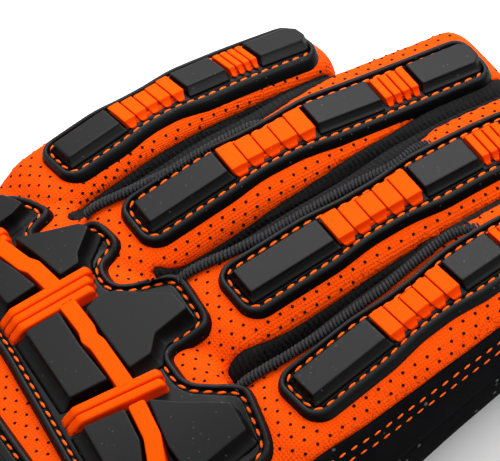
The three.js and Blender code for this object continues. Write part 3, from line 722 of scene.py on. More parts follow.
def between_outline(one, after):
    reach = max(one.length, after.length) + WEB_REACH
    s = np.linspace(WEB_START, reach, WEB_STEPS)
    near = one.place(s, seam_distance(NEAR_SEAMS, one, s))
    far = after.place(s, -seam_distance(FAR_SEAMS, after, s))
    far[:, 0] = np.maximum(far[:, 0], np.interp(far[:, 1], near[:, 1], near[:, 0]) + WEB_HALF_WIDTH)
    end_x, end_y = WEB_ENDS[one.name]
    root = [(end_x - WEB_HALF_WIDTH, end_y), (end_x + WEB_HALF_WIDTH, end_y)]
    bottom = [one.place(-1, seam_distance(NEAR_SEAMS, one, -1)), *root,
              after.place(-2, -seam_distance(FAR_SEAMS, after, -2))]
    return np.vstack([near[::-1], rounded_outline(np.vstack([near[0], bottom, far[0]]), 2)[1:-4], far])


INDEX_SEAM = [(51.4, -43), (49.9, -30), (48.4, -18), (48.2, -6), (47.5, 6), (46.6, 18), (45.6, 30),
              (43.8, 46), (41.8, 62), (40.6, 80)]
THUMB_WEB = (51.4, -43)
THUMB_HEEL = (46.5, -112)
THUMB_CLEAR = (57, -38)
index_outline = np.array(INDEX_SEAM + [(THUMB_CLEAR[0], 80), THUMB_CLEAR])
thumb_outline = np.array([THUMB_WEB, THUMB_HEEL, (FAR, THUMB_HEEL[1]), (FAR, 0), (THUMB_CLEAR[0], 0),
                          THUMB_CLEAR])


ROOT_BLEND = 8
SIDE_SEAM_DROP = 2


def under_field(points):
    height = np.full(len(points), PALM_SEAM)
    nearest = np.full(len(points), np.inf)
    for finger in fingers:
        s, t = finger.local(points)
        own = finger.middle(s)[:, 2] - SIDE_SEAM_DROP
        blend = smoothstep(s, -ROOT_BLEND, ROOT_BLEND)
        mine = (np.abs(t) < nearest) & (points[:, 0] < THUMB_CLEAR[0])
        height = np.where(mine, PALM_SEAM + (own - PALM_SEAM) * blend, height)
        nearest = np.where(mine, np.abs(t), nearest)
    return height - points[:, 2]


# %% Flat coordinates of the cloth, so that rows of the knit follow the fingers
MEAN_WIDTH_SHARE = 0.94
FINGER_REACH = 16
CLOTH_BLEND = (-30, -12)


def arc_table(half_width, half_height, power):
    t = np.linspace(0, 0.999, 400)
    rise = (1 - t ** power) ** (1 / power) * half_height
    length = np.concatenate([[0], np.cumsum(np.hypot(np.diff(t * half_width), np.diff(rise)))])
    return t * half_width, length


def cloth_coordinates(points):
    u, v = points[:, 0].copy(), points[:, 1].copy()
    nearest = np.full(len(points), np.inf)
    for finger in fingers:
        s, t = finger.local(points)
        width = finger.facts["half_width"] * MEAN_WIDTH_SHARE
        height = (finger.facts["root"] + finger.facts["tip"]) / 4
        near_t, near_arc = arc_table(width, height, NEAR_ROUNDNESS)
        far_t, far_arc = arc_table(width, height, FAR_ROUNDNESS)
        arc = np.where(t > 0, np.interp(t, near_t, near_arc), -np.interp(-t, far_t, far_arc))
        centre = points[:, 0] - t
        blend = smoothstep(points[:, 1], *CLOTH_BLEND)
        mine = (np.abs(t) < nearest) & (np.abs(t) < FINGER_REACH)
        u = np.where(mine, points[:, 0] + (centre + arc - points[:, 0]) * blend, u)
        v = np.where(mine, points[:, 1] + (finger.start[1] + s - points[:, 1]) * blend, v)
        nearest = np.where(mine, np.abs(t), nearest)
    return np.stack([u, v], axis=1) / UV_SPAN + 0.5


between = [plan_distance(skin_points, between_outline(a, b)) for a, b in zip(fingers, fingers[1:])]
FIELDS = {
    "under": under_field(skin_points), "cuff": WRIST_Y - skin_points[:, 1],
    "mouth": skin_points[:, 1] - MOUTH_Y, "web0": between[0], "web1": between[1], "web2": between[2],
    "index": plan_distance(skin_points, index_outline), "thumb": plan_distance(skin_points, thumb_outline)}
COLUMN = {name: 3 + i for i, name in enumerate(FIELDS)}
flat_place = cloth_coordinates(skin_points)
skin = np.column_stack([skin_points, *FIELDS.values(), flat_place])

# %% Cutting the skin and giving a panel its thickness


def turned(tris, first):
    rows = np.arange(len(tris))
    return np.stack([tris[rows, (first + i) % 3] for i in range(3)], axis=1)


def clip(data, tris, value):
    """The part of a mesh where value is above zero, cut exactly along zero."""
    inside = value > 0
    count = inside[tris].sum(axis=1)
    one, two = tris[count == 1], tris[count == 2]
    one, two = turned(one, inside[one].argmax(axis=1)), turned(two, (~inside[two]).argmax(axis=1))
    edges = np.sort(np.vstack([one[:, [0, 1]], one[:, [0, 2]], two[:, [0, 1]], two[:, [0, 2]]]), axis=1)
    unique, where = np.unique(edges, axis=0, return_inverse=True)
    a, b = unique[:, 0], unique[:, 1]
    weight = (value[a] / (value[a] - value[b]))[:, None]
    cut = data[a] * (1 - weight) + data[b] * weight
    p, q, r, s = np.split(where.ravel() + len(data), [len(one), 2 * len(one), 2 * len(one) + len(two)])
    faces = np.vstack([tris[count == 3], np.stack([one[:, 0], p, q], axis=1),
                       np.stack([r, two[:, 1], two[:, 2]], axis=1), np.stack([r, two[:, 2], s], axis=1)])
    used, faces = np.unique(faces, return_inverse=True)
    return np.vstack([data, cut])[used], faces.reshape(-1, 3)


def corner_normals(points, tris):
    a, b, c = (points[tris[:, i]] for i in range(3))
    face = np.cross(b - a, c - a)
    normals = np.zeros_like(points)
    for i in range(3):
        np.add.at(normals, tris[:, i], face)
    return unit(normals + 1e-12)


def thickened(points, tris, lift, thickness):
    """A closed shell: the outer face is the surface lifted, the inner face lies a thickness below it."""
    normals = corner_normals(points, tris)
    outer = points + normals * np.reshape(lift, (-1, 1))
    inner = points - normals * thickness
    directed = directed_edges(tris)
    _, index, uses = np.unique(np.sort(directed, axis=1), axis=0, return_inverse=True, return_counts=True)
    border = directed[uses[index.ravel()] == 1]
    n = len(points)
    a, b = border[:, 0], border[:, 1]
    rim = np.vstack([np.stack([b, a, a + n], axis=1), np.stack([b, a + n, b + n], axis=1)])
    return np.vstack([outer, inner]), np.vstack([tris, tris[:, ::-1] + n, rim])


def dress(obj, slot, *nodes):
    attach(obj, "root")
    if nodes:
        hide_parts(*nodes)
    return obj


CLOTH_THICKNESS = 1.2
EDGE_ROLL = 1.0
LEATHER_PANEL_LIFT = 0.5
LEATHER_ROLL = 0.4


def cut(signs):
    """The part of the skin above the mouth where every named distance has its sign."""
    data, tris = clip(skin, skin_tris, skin[:, COLUMN["mouth"]])
    for field, sign in signs.items():
        data, tris = clip(data, tris, sign * data[:, COLUMN[field]])
    return data, tris


def panel(name, signs, material, slot, nodes, lift=0.0, roll=EDGE_ROLL):
    """The part of the skin where every named distance has its sign, with softly rolled edges."""
    data, tris = cut(signs)
    margin = np.min([sign * data[:, COLUMN[field]] for field, sign in signs.items()], axis=0)
    fall = 1 - np.clip(margin / roll, 0, 1)
    edge = roll * 0.5 * (1 - np.sqrt(1 - fall ** 2))
    points, faces = thickened(data[:, :3], tris, lift - edge, CLOTH_THICKNESS)
    obj = mesh_object(name, points, faces, material)
    layer = obj.data.uv_layers.new(name="cloth")
    corners = np.empty(len(obj.data.loops), dtype=np.int32)
    obj.data.loops.foreach_get("vertex_index", corners)
    flat = np.vstack([data[:, -2:], data[:, -2:]])[corners]
    layer.data.foreach_set("uv", flat.ravel())
    print(name, len(faces), "triangles")
    return dress(obj, slot, *nodes)


BACK = {"under": -1, "cuff": -1, "web0": -1, "web1": -1, "web2": -1, "index": -1, "thumb": -1}
panel("back_cloth", BACK, orange_knit, "back_cloth", ["back_panel"])
panel("palm_leather", {"under": 1, "cuff": -1}, black_suede, "leather", ["palm_panel"])
UPPER = {"under": -1, "cuff": -1}
panel("index_side_leather", {**UPPER, "index": 1, "thumb": -1}, black_suede, "leather",
      ["index_side_panel"], lift=LEATHER_PANEL_LIFT, roll=LEATHER_ROLL)
panel("thumb_leather", {**UPPER, "thumb": 1}, black_suede, "leather", ["thumb_back"],
      lift=LEATHER_PANEL_LIFT, roll=LEATHER_ROLL)
panel("cuff_knit", {"cuff": 1}, black_knit, "knit", ["cuff"])
for i, (one, after) in enumerate(zip(fingers, fingers[1:])):
    panel(f"fourchette_{one.name}_{after.name}_knit", {**UPPER, f"web{i}": 1}, rib_knit, "knit",
          [f"fourchette_{one.name}_{after.name}"])

# %% [markdown]
# ## Guards: the lip and the plate
# A moulded guard is a thin plate with a rounded lip all round and a groove inside it for the stitches.
# One cross-section is carried round the outline. Each of its points is a distance in from the edge and
# a height over the cloth, so the lip follows every bend of the cloth below.

# %% Outlines


def filleted(outline, radius, points=6):
    """A closed outline with every corner rounded."""
    outline = np.asarray(outline, float)
    result = []
    for before, corner, after in zip(np.roll(outline, 1, axis=0), outline, np.roll(outline, -1, axis=0)):
        to_before, to_after = before - corner, after - corner
        a = corner + to_before * min(radius / np.linalg.norm(to_before), 0.45)
        b = corner + to_after * min(radius / np.linalg.norm(to_after), 0.45)
        for t in np.linspace(0, 1, points):
            result.append(a * (1 - t) ** 2 + corner * 2 * t * (1 - t) + b * t * t)
    return np.array(result)


def signed_area(outline):
    x, y = outline[:, 0], outline[:, 1]
    return 0.5 * np.sum(x * np.roll(y, -1) - np.roll(x, -1) * y)


def resampled(outline, spacing):
    """Even steps round a closed outline, turned anticlockwise."""
    if signed_area(outline) < 0:
        outline = outline[::-1]
    loop = np.vstack([outline, outline[:1]])
    place = np.concatenate([[0], np.cumsum(np.linalg.norm(np.diff(loop, axis=0), axis=1))])
    steps = np.linspace(0, place[-1], int(place[-1] / spacing) + 1)[:-1]
    return np.stack([np.interp(steps, place, loop[:, i]) for i in range(loop.shape[1])], axis=1)


INSET_STEP = 0.2
INSET_SMOOTHING = 0.12


def inset(outline, distance):
    """The outline moved inwards little by little, so that tight corners close up without crossing."""
    count = max(1, int(abs(distance) / INSET_STEP))
    for _ in range(count):
        tangent = unit(np.roll(outline, -1, axis=0) - np.roll(outline, 1, axis=0) + 1e-9)
        inward = np.stack([-tangent[:, 1], tangent[:, 0]], axis=1)
        outline = outline + inward * distance / count
        between = np.roll(outline, -1, axis=0) / 2 + np.roll(outline, 1, axis=0) / 2
        outline = outline + INSET_SMOOTHING * (between - outline)
    return outline


# %% Caps: the area inside a ring, filled with even triangles


def filled(ring_flat, spacing):
    """Extra points inside a closed outline and the triangles that fill it."""
    low, high = ring_flat.min(0), ring_flat.max(0)
    xs, ys = np.arange(low[0], high[0], spacing), np.arange(low[1], high[1], spacing)
    grid = np.stack(np.meshgrid(xs, ys), axis=-1).reshape(-1, 2)
    grid = grid[plan_distance(grid, ring_flat) > spacing * 0.45] if len(grid) else grid
    flat = np.vstack([ring_flat, grid])
    n = len(ring_flat)
    edges = [(i, (i + 1) % n) for i in range(n)]
    _, _, faces, origin, _, _ = delaunay_2d_cdt([Vector(point) for point in flat], edges, [], 1, 1e-5)
    index = [source[0] if source else -1 for source in origin]
    faces = [tuple(index[corner] for corner in face) for face in faces]
    return grid, [face for face in faces if len(set(face)) == 3 and min(face) >= 0]


def swept_body(rings, low_cap, high_cap):
    """A closed body through matching rings, with a filled cap of (inner points, triangles) at each end."""
    n = len(rings[0])
    points = list(rings)
    faces = []
    for r in range(len(rings) - 1):
        a = r * n + np.arange(n)
        b = r * n + (np.arange(n) + 1) % n
        faces.append(np.stack([a, b, b + n, a + n], axis=1).tolist())
    faces = [face for rows in faces for face in rows]
    for (inner, cap_faces), base, flip in ((low_cap, 0, True), (high_cap, (len(rings) - 1) * n, False)):
        start = sum(len(part) for part in points)
        points.append(inner.reshape(-1, 3))
        for face in cap_faces:
            corners = [corner + base if corner < n else corner - n + start for corner in face]
            faces.append(corners[::-1] if flip else corners)
    return np.vstack(points), faces


LIP_PROFILE = [
    (-0.75, -0.8), (-0.6, 0.1), (-0.3, 0.9), (-0.08, 1.36), (0.08, 1.56), (0.28, 1.68), (0.66, 1.7),
    (0.86, 1.6), (0.98, 1.4), (1.06, 0.95), (1.2, 0.62), (1.8, 0.5), (1.92, 0.65), (2.02, 0.92),
    (2.2, 1.0), (2.5, 1.0)]
OUTLINE_STEP = 0.8
CAP_STEP = 2.5
STITCH_INSET = 1.5
STITCH_HEIGHT = 0.9


def lipped_plate(outline, drop):
    """A plate with a lip. drop(flat points) gives the cloth's points and the directions up."""
    rings, caps = [], []
    for distance, height in LIP_PROFILE:
        flat = inset(outline, distance)
        ground, up = drop(flat)
        rings.append(ground + up * height)
        if distance in (LIP_PROFILE[0][0], LIP_PROFILE[-1][0]):
            grid, cap_faces = filled(flat, CAP_STEP)
            inner, inner_up = drop(grid)
            caps.append((inner + inner_up * height, cap_faces))
    return swept_body(rings, *caps)


def stitch_line(outline, drop):
    """A closed line for strands: its points, its directions up and whether it is closed."""
    ground, up = drop(inset(outline, STITCH_INSET))
    return ground + up * STITCH_HEIGHT, up, True


# %% Outline and cloth of a finger's guard, in distances along and across the finger
GUARD_HALF_WIDTH = 7.0
GUARD_FAR_WIDTH = 6.5
GUARD_START = 2.7
GUARD_TIP = 1.4
GUARD_CORNER = 2.2
GUARD_WAIST = 0.9
GUARD_WAIST_SPAN = (0.3, 0.7)
JOINT_REACH = 2
LIP_CORNER = 1.7


def guard_side(finger, full):
    """One side of a guard's outline, as distances along and out from the middle line."""
    bars, second = finger.joints[1], finger.joints[2]
    end = finger.length + GUARD_TIP
    waist = [(bars + share * (second - bars), full - GUARD_WAIST) for share in GUARD_WAIST_SPAN]
    return [(-GUARD_START, full - GUARD_CORNER), (-GUARD_START + GUARD_CORNER, full),
            (bars - JOINT_REACH, full), *waist, (second + JOINT_REACH, full),
            (end - 1.8, full - 0.4), (end, full - 2.4)]


def finger_guard_outline(finger):
    near = guard_side(finger, GUARD_HALF_WIDTH)
    far = [(s, -t) for s, t in reversed(guard_side(finger, GUARD_FAR_WIDTH))]
    return resampled(filleted(near + far, LIP_CORNER), OUTLINE_STEP)


def finger_drop(finger):
    def drop(flat):
        _, _, _, up = finger.at(flat[:, 0])
        return on_finger(finger, flat[:, 0], flat[:, 1]), up
    return drop


# %% [markdown]
# ## Guards: blocks, bars and ribs
# The raised parts all have a flat top, sloping sides and a small round on every edge. One function makes
# them from the outline of the top: the rings go from a wider foot up the side, round the edge and in
# over the top. The bars and ribs narrow towards their feet along the finger, which opens the dark
# wedges between them.

# %% Raised shapes


def grown(outline, distance):
    """A few-cornered outline with every side moved outwards by its own distance, corners kept."""
    turn_sign = np.sign(signed_area(outline))
    along = np.roll(outline, -1, axis=0) - outline
    normal = unit(np.stack([along[:, 1], -along[:, 0]], axis=1)) * turn_sign
    own = np.broadcast_to(distance(normal) if callable(distance) else distance, len(outline))
    before, own_before = np.roll(normal, 1, axis=0), np.roll(own, 1)
    turn = before[:, 0] * normal[:, 1] - before[:, 1] * normal[:, 0]
    straight = np.abs(turn) < STRAIGHT_TURN
    turn = np.where(straight, 1, turn)
    move = np.stack([own_before * normal[:, 1] - own * before[:, 1],
                     before[:, 0] * own - normal[:, 0] * own_before], axis=1) / turn[:, None]
    move = np.where(straight[:, None], normal * own[:, None], move)
    limit = MITRE_LIMIT * np.maximum(np.abs(own), np.abs(own_before)) + 1e-6
    return outline + move * np.minimum(1, limit / np.maximum(np.linalg.norm(move, axis=1), 1e-6))[:, None]


def corner_ring(outline, radius, counts, points=4):
    """The outline with rounded corners and a fixed number of points on each straight side."""
    arcs = filleted(outline, radius, points).reshape(len(outline), points, 2)
    ring = []
    for arc, following, count in zip(arcs, np.roll(arcs, -1, axis=0), counts):
        ring.extend(arc)
        for i in range(1, count):
            ring.append(arc[-1] + (following[0] - arc[-1]) * i / count)
    return np.array(ring)


STRAIGHT_TURN = 0.12
MITRE_LIMIT = 2.0
HOLLOW = ((1.0, 0.0), (0.64, 0.13), (0.34, 0.38), (0.14, 0.68))


def as_height(value):
    return value if callable(value) else (lambda flat: np.full(len(flat), float(value)))


def as_reach(value):
    if callable(value):
        return value
    if np.ndim(value):
        return lambda normal: np.abs(normal[:, 0]) * value[0] + np.abs(normal[:, 1]) * value[1]
    return lambda normal: np.full(len(normal), float(value))


def raised(outline, place, foot, top, flare, corner, edge, side_step=50.0, cap_step=50.0):
    """A raised shape with hollow sides. foot and top are heights or functions of the flat points.
    flare is how far the foot reaches out: one distance, one along each axis, or one for each normal."""
    outline = np.asarray(outline, float)
    if signed_area(outline) < 0:
        outline = outline[::-1]
    sides = np.linalg.norm(np.roll(outline, -1, axis=0) - outline, axis=1)
    counts = np.maximum(1, (sides / side_step).astype(int))
    low, high, reach = as_height(foot), as_height(top), as_reach(flare)
    levels = []
    for share, rise in HOLLOW:
        levels.append((lambda normal, share=share: reach(normal) * share,
                       lambda flat, rise=rise: low(flat) + (high(flat) - low(flat)) * rise))
    for out, fall in ((0.06, 1.3), (-0.02, 0.5), (-edge * 0.35, 0.12), (-edge * 0.9, 0), (-edge * 1.6, 0)):
        levels.append((out, lambda flat, fall=fall: high(flat) - edge * fall))
    flats = [corner_ring(grown(outline, out), corner, counts) for out, _ in levels]
    rings = [place(flat, level(flat)) for flat, (_, level) in zip(flats, levels)]
    caps = []
    for flat, level in ((flats[0], low), (flats[-1], high)):
        grid, cap_faces = filled(flat, cap_step)
        caps.append((place(grid, level(grid)) if len(grid) else np.zeros((0, 3)), cap_faces))
    return swept_body(rings, *caps)


def dress_bodies(name, bodies, material, slot, node):
    """Several closed bodies as one visible piece in the place of one solid."""
    points, faces = merged(bodies)
    dress(mesh_object(name, points, faces, material), slot, node)
    print(name, len(faces), "faces")


# %% The raised parts of a finger, each straight over its own stretch
PLATE_TOP = 0.9
BLOCK_HALF_WIDTH = 3.3
BLOCK_FLARE = 1.5
BLOCK_CLEARANCE = 0.25
BLOCK_CUT = 0.2
BLOCKS = [{"stretch": 0, "flare": 0.9, "past": 0.0, "end_cut": 0.2},
          {"stretch": 2, "flare": 0.2, "past": 0.0, "end_cut": 0.2},
          {"stretch": 4, "flare": 0.5, "past": 0.9, "end_cut": 1.7}]
BAR_TOP = 2.62
BAR_MARGIN = 0.5
BAR_FOOT = 0.1
BAR_FLARE = 1.35
BARS = {"stretch": 1, "shares": (1.04, 0.9, 0.82, 0.9, 1.04), "top_gap": 0.14, "foot_gap": 0.8}
RIBS = {"stretch": 3, "shares": (0.97, 0.97, 0.97, 0.97), "top_gap": 0.2, "foot_gap": 0.28}
STRIP_HALF_WIDTH = 3.2
STRIP_MARGIN = 0.3
STRIP_FOOT = -0.3
STRIP_TOP = 0.55


def finger_place(finger, middle_s):
    point, along, side, up = finger.at(middle_s)

    def place(flat, heights):
        return point + (flat[:, :1] - middle_s) * along + flat[:, 1:] * side \
            + (np.asarray(heights) - GUARD_HEIGHT)[:, None] * up
    return place


def block_outline(start, end, start_cut, end_cut):
    w = BLOCK_HALF_WIDTH
    return [(start, -w + start_cut), (start, w - start_cut), (start + start_cut, w), (end - end_cut, w),
            (end, w - end_cut), (end, -w + end_cut), (end - end_cut, -w), (start + start_cut, -w)]


def finger_blocks(finger):
    bodies = []
    for block in BLOCKS:
        start = finger.joints[block["stretch"]]
        end = finger.joints[block["stretch"] + 1] + block["past"]
        outline = block_outline(start + BLOCK_CLEARANCE, end - BLOCK_CLEARANCE, BLOCK_CUT,
                                block["end_cut"])
        bodies.append(raised(outline, finger_place(finger, (start + end) / 2), PLATE_TOP, GUARD_HEIGHT,
                             (block["flare"], BLOCK_FLARE), corner=0.4, edge=0.32))
    return bodies


def finger_bars(finger, stretch, shares, top_gap, foot_gap):
    """A row of bars across the finger on a low strip, each a share of the blocks' width."""
    start, end = finger.joints[stretch] + BAR_MARGIN, finger.joints[stretch + 1] - BAR_MARGIN
    pitch = (end - start) / len(shares)
    place = finger_place(finger, (start + end) / 2)
    bodies = []
    for i, share in enumerate(shares):
        a, b = start + pitch * i + top_gap, start + pitch * (i + 1) - top_gap
        w = BLOCK_HALF_WIDTH * share
        outline = [(a, -w), (a, w), (b, w), (b, -w)]
        bodies.append(raised(outline, place, PLATE_TOP + BAR_FOOT, BAR_TOP, (-foot_gap, BAR_FLARE),
                             corner=0.22, edge=0.22))
    a, b, w = start + STRIP_MARGIN, end - STRIP_MARGIN, STRIP_HALF_WIDTH
    bodies.append(raised([(a, -w), (a, w), (b, w), (b, -w)], place, PLATE_TOP + STRIP_FOOT,
                         PLATE_TOP + STRIP_TOP, (0.0, 0.6), corner=0.2, edge=0.15))
    return bodies


stitch_paths = []
for finger in fingers:
    outline = finger_guard_outline(finger)
    drop = finger_drop(finger)
    dress_bodies(f"{finger.name}_finger_guard", [lipped_plate(outline, drop), *finger_blocks(finger)],
                 guard_rubber, "guard_rubber", f"{finger.name}_guard")
    dress_bodies(f"{finger.name}_bars", finger_bars(finger, **BARS), accent_rubber, "accent_rubber",
                 f"{finger.name}_knuckle_bars")
    dress_bodies(f"{finger.name}_ribs", finger_bars(finger, **RIBS), accent_rubber, "accent_rubber",
                 f"{finger.name}_tip_ribs")
    stitch_paths.append(stitch_line(outline, drop))

# %% [markdown]
# ## The knuckle guard and the wrist pad
# The guard over the knuckles is one plate with eight blocks. Between them lie an orange cross bar and
# bundles of orange ribs that bend down at the wrist side. The pad below it has two low fields.

# %% Tables, seen from above
KNUCKLE_OUTLINE = [
    (-50.5, -34.5), (-48.5, -30.8), (-42.5, -28.2), (-36.4, -26.6), (-35.0, -27.4), (-33.8, -32.4),
    (-31.2, -32.6), (-26.2, -22.4), (-24.6, -21.0), (-18.0, -20.4), (-16.6, -21.4), (-14.8, -26.4),
    (-8.2, -26.8), (-3.8, -17.2), (-1.6, -15.6), (10.4, -16.6), (12.0, -18.2), (12.2, -27.6),
    (21.0, -28.0), (26.6, -20.6), (29.0, -19.4), (40.4, -22.2), (43.4, -24.4), (43.4, -38),
    (38.5, -50), (32, -55.2), (21.3, -54.8), (-9.7, -51.4), (-30, -51), (-44, -47)]
FINGER_SIDE_BLOCKS = [
    [(-46.5, -36.6), (-45.4, -32.2), (-39.0, -30.3), (-37.8, -33.4), (-37.6, -38.2)],
    [(-31.2, -36.2), (-24.6, -24.6), (-22.6, -23.6), (-18.2, -28.6), (-16, -29.6), (-16, -33.9),
     (-24, -34.9)],
    [(-5.4, -34.1), (-6.2, -31.2), (-5.2, -27.8), (3.6, -19.4), (8.4, -19.2), (9.2, -27), (12.6, -30),
     (12.6, -34.9), (1.5, -34.6)],
    [(20.9, -35.8), (25.2, -31.6), (31.4, -24), (37.6, -24.8), (38.8, -38.4), (31.5, -38.2)]]
WRIST_SIDE_BLOCKS = [
    [(-44.6, -43.6), (-37.2, -43), (-37.2, -46), (-42.2, -45.4)],
    [(-29.7, -41.2), (-24, -39.9), (-17.3, -38.8), (-17.3, -45.4), (-28.8, -45.4)],
    [(-8.9, -46), (-8.4, -38.6), (1.2, -39.4), (11.9, -39.4), (10.6, -47.2)],
    [(17.9, -48.6), (19.8, -40.4), (27.4, -41.7), (34.6, -45.4), (34.4, -47.8), (30.8, -50)]]
CROSS_BARS = [
    [(-42, -41.2), (-33, -39.5), (-23.9, -37.9), (-22.0, -36.9), (-14.6, -36.2)],
    [(-9.8, -36.35), (-1.2, -36.5), (1.0, -37.2), (3.3, -36.7), (15.5, -37.35)],
    [(19.9, -38), (27.9, -39.4), (36.5, -43.4)]]
RIB_BUNDLES = [
    {"count": 2, "start": (-34.6, -36.2), "end": (-33.6, -48.2), "lag": 0.5},
    {"count": 3, "start": (-11.4, -28.6), "end": (-13.3, -48.8), "lag": 0.9},
    {"count": 2, "start": (18.1, -30.6), "end": (14.0, -51.0), "lag": 0.6}]
PAD_OUTLINE = [(-38, -62), (-33, -58.8), (26, -60.2), (30, -64),
               (25, -92), (20, -97), (-26, -97), (-31, -92)]
PAD_FIELDS = [[(-32, -65.5), (-2.5, -64), (-2.5, -90.5), (-26, -90.5)],
              [(1.5, -64), (24.6, -65.6), (20, -90.5), (1.5, -90.5)]]
KNUCKLE_BLOCK_HEIGHT = 3.8
LATTICE_HEIGHT = 3.6
CROSS_BAR_WIDTH = 3.3
RIB_WIDTH = 1.95
RIB_PITCH = 2.25
PAD_FIELD_HEIGHT = 3.0

# %% Heights and flares
HAND_MIDDLE_X = -3.5
HAND_HALF_WIDTH = 55.0
HAND_HALF_HEIGHT = 21.0
HAND_TOP = 36.0
HAND_CURVE = 3
KNUCKLE_SAG = 1.0


def back_height(flat):
    share = np.minimum(np.abs(flat[:, 0] - HAND_MIDDLE_X) / HAND_HALF_WIDTH, 1)
    return HAND_TOP - HAND_HALF_HEIGHT + HAND_HALF_HEIGHT * (1 - share ** HAND_CURVE) ** (1 / HAND_CURVE)


def over_back(height):
    return lambda flat: back_height(flat) + height


def vertical_drop(flat):
    column = np.column_stack([flat, np.full(len(flat), HAND_TOP)])
    return on_skin(column), np.broadcast_to(UP, (len(flat), 3))


def knuckle_drop(flat):
    """Down to the cloth, though the plate is stiff and bridges the dips between the fingers."""
    ground, up = vertical_drop(flat)
    lowest = back_height(flat) - KNUCKLE_SAG
    return np.column_stack([ground[:, :2], np.maximum(ground[:, 2], lowest)]), up


def over_skin(height):
    return lambda flat: vertical_drop(flat)[0][:, 2] + height


def upright(flat, heights):
    return np.column_stack([flat, heights])


def wrist_slope(normal):
    """Blocks of the wrist side run out in a slope there and stand steep elsewhere."""
    return np.where(normal[:, 1] < -0.8, 3.4, 0.7)


def finger_slope(normal):
    """Blocks of the finger side run out in a deep cove towards the thumb."""
    return np.where(normal[:, 0] > 0.35, 2.3, np.where(normal[:, 1] < -0.8, 0.5, 0.9))


def band(line, width):
    """The outline of a flat band along a line, mitred at its bends."""
    line = np.asarray(line, float)
    along = unit(np.diff(line, axis=0))
    across = np.stack([-along[:, 1], along[:, 0]], axis=1)
    before, after = np.vstack([across[:1], across]), np.vstack([across, across[-1:]])
    mean = unit(before + after)
    reach = width / 2 / (mean * after).sum(1, keepdims=True)
    return np.vstack([line + mean * reach, (line - mean * reach)[::-1]])


# %% The guard, its lattice and the pad
knuckle_outline = resampled(filleted(KNUCKLE_OUTLINE, 2.6), OUTLINE_STEP)
bodies = [lipped_plate(knuckle_outline, knuckle_drop)]
for outlines, slope in ((FINGER_SIDE_BLOCKS, finger_slope), (WRIST_SIDE_BLOCKS, wrist_slope)):
    for outline in outlines:
        bodies.append(raised(outline, upright, over_skin(PLATE_TOP), over_back(KNUCKLE_BLOCK_HEIGHT), slope,
                             corner=0.5, edge=0.28, side_step=3, cap_step=3))
dress_bodies("knuckle_guard_cover", bodies, guard_rubber, "guard_rubber", "knuckle_guard")

BEND_LENGTH = 3.2
BEND_DEPTH = 2.2
START_DEPTH = 0.9
START_LENGTH = 0.9


def rib_top(start_y, end_y):
    """Level over the middle of a rib, bent down the slope at the wrist and rounded at its start."""
    def top(flat):
        y = flat[:, 1]
        bend = np.clip((end_y + BEND_LENGTH - y) / BEND_LENGTH, 0, 1) * BEND_DEPTH
        start = np.clip((y - start_y + START_LENGTH) / START_LENGTH, 0, 1) ** 2 * START_DEPTH
        return back_height(flat) + LATTICE_HEIGHT - bend - start
    return top


bodies = []
for line in CROSS_BARS:
    bodies.append(raised(band(line, CROSS_BAR_WIDTH), upright, over_skin(PLATE_TOP),
                         over_back(LATTICE_HEIGHT), 0.3, corner=0.6, edge=0.3, side_step=2, cap_step=2))
for bundle in RIB_BUNDLES:
    for i in range(bundle["count"]):
        shift = (i - (bundle["count"] - 1) / 2) * RIB_PITCH
        start = (bundle["start"][0] + shift, bundle["start"][1] - bundle["lag"] * i)
        end = (bundle["end"][0] + shift, bundle["end"][1] - 0.2 * i)
        bodies.append(raised(band([start, end], RIB_WIDTH), upright, over_skin(PLATE_TOP),
                             rib_top(start[1], end[1]), 0.12, corner=0.8, edge=0.5, side_step=0.8))
dress_bodies("knuckle_lattice_cover", bodies, accent_rubber, "accent_rubber", "knuckle_lattice")

pad_outline = resampled(filleted(PAD_OUTLINE, 4), OUTLINE_STEP)
bodies = [lipped_plate(pad_outline, vertical_drop)]
for outline in PAD_FIELDS:
    bodies.append(raised(outline, upright, over_skin(PLATE_TOP), over_skin(PAD_FIELD_HEIGHT), 1.4,
                         corner=2.5, edge=0.3, side_step=3, cap_step=3))
dress_bodies("wrist_pad_cover", bodies, guard_rubber, "guard_rubber", "wrist_pad")
stitch_paths.append(stitch_line(knuckle_outline, knuckle_drop))
stitch_paths.append(stitch_line(pad_outline, vertical_drop))

# %% [markdown]
# ## Sewing and cords
# Stitches and the strands of a cord are one small piece repeated along a path. A path is a chain of edges
# whose points know which way is up. The node tree walks along it in even steps, puts the piece on every
# step, turns it along the path and tilts it.

# %% The tree that repeats a strand
STRAND_INPUTS = ("Pitch", "Length", "Width", "Height", "Tilt")
COUNT_INPUTS = ("Columns", "Rows")


def repeating_tree(name, base, labels):
    """A tree that takes a base shape, named numbers and a material, and gives one shape."""
    tree = bpy.data.node_groups.new(name, "GeometryNodeTree")
    tree.interface.new_socket(base, in_out="INPUT", socket_type="NodeSocketGeometry")
    for label in labels:
        kind = "NodeSocketInt" if label in COUNT_INPUTS else "NodeSocketFloat"
        tree.interface.new_socket(label, in_out="INPUT", socket_type=kind)
    tree.interface.new_socket("Material", in_out="INPUT", socket_type="NodeSocketMaterial")
    tree.interface.new_socket("Pieces", in_out="OUTPUT", socket_type="NodeSocketGeometry")
    return tree, tree.nodes.new("NodeGroupInput").outputs


def repeat_piece(tree, inputs, material):
    """The end of a tree: the piece on every point, as a plain mesh with its material."""
    placed = add_node(tree, "GeometryNodeInstanceOnPoints", inputs).outputs[0]
    real = add_node(tree, "GeometryNodeRealizeInstances", {0: placed}).outputs[0]
    finished = add_node(tree, "GeometryNodeSetMaterial", {0: real, 2: material}).outputs[0]
    add_node(tree, "NodeGroupOutput", {0: finished})
    return tree


def stored(tree, label):
    """A vector that the points carry under a name."""
    return add_node(tree, "GeometryNodeInputNamedAttribute", {0: label},
                    data_type="FLOAT_VECTOR").outputs[0]


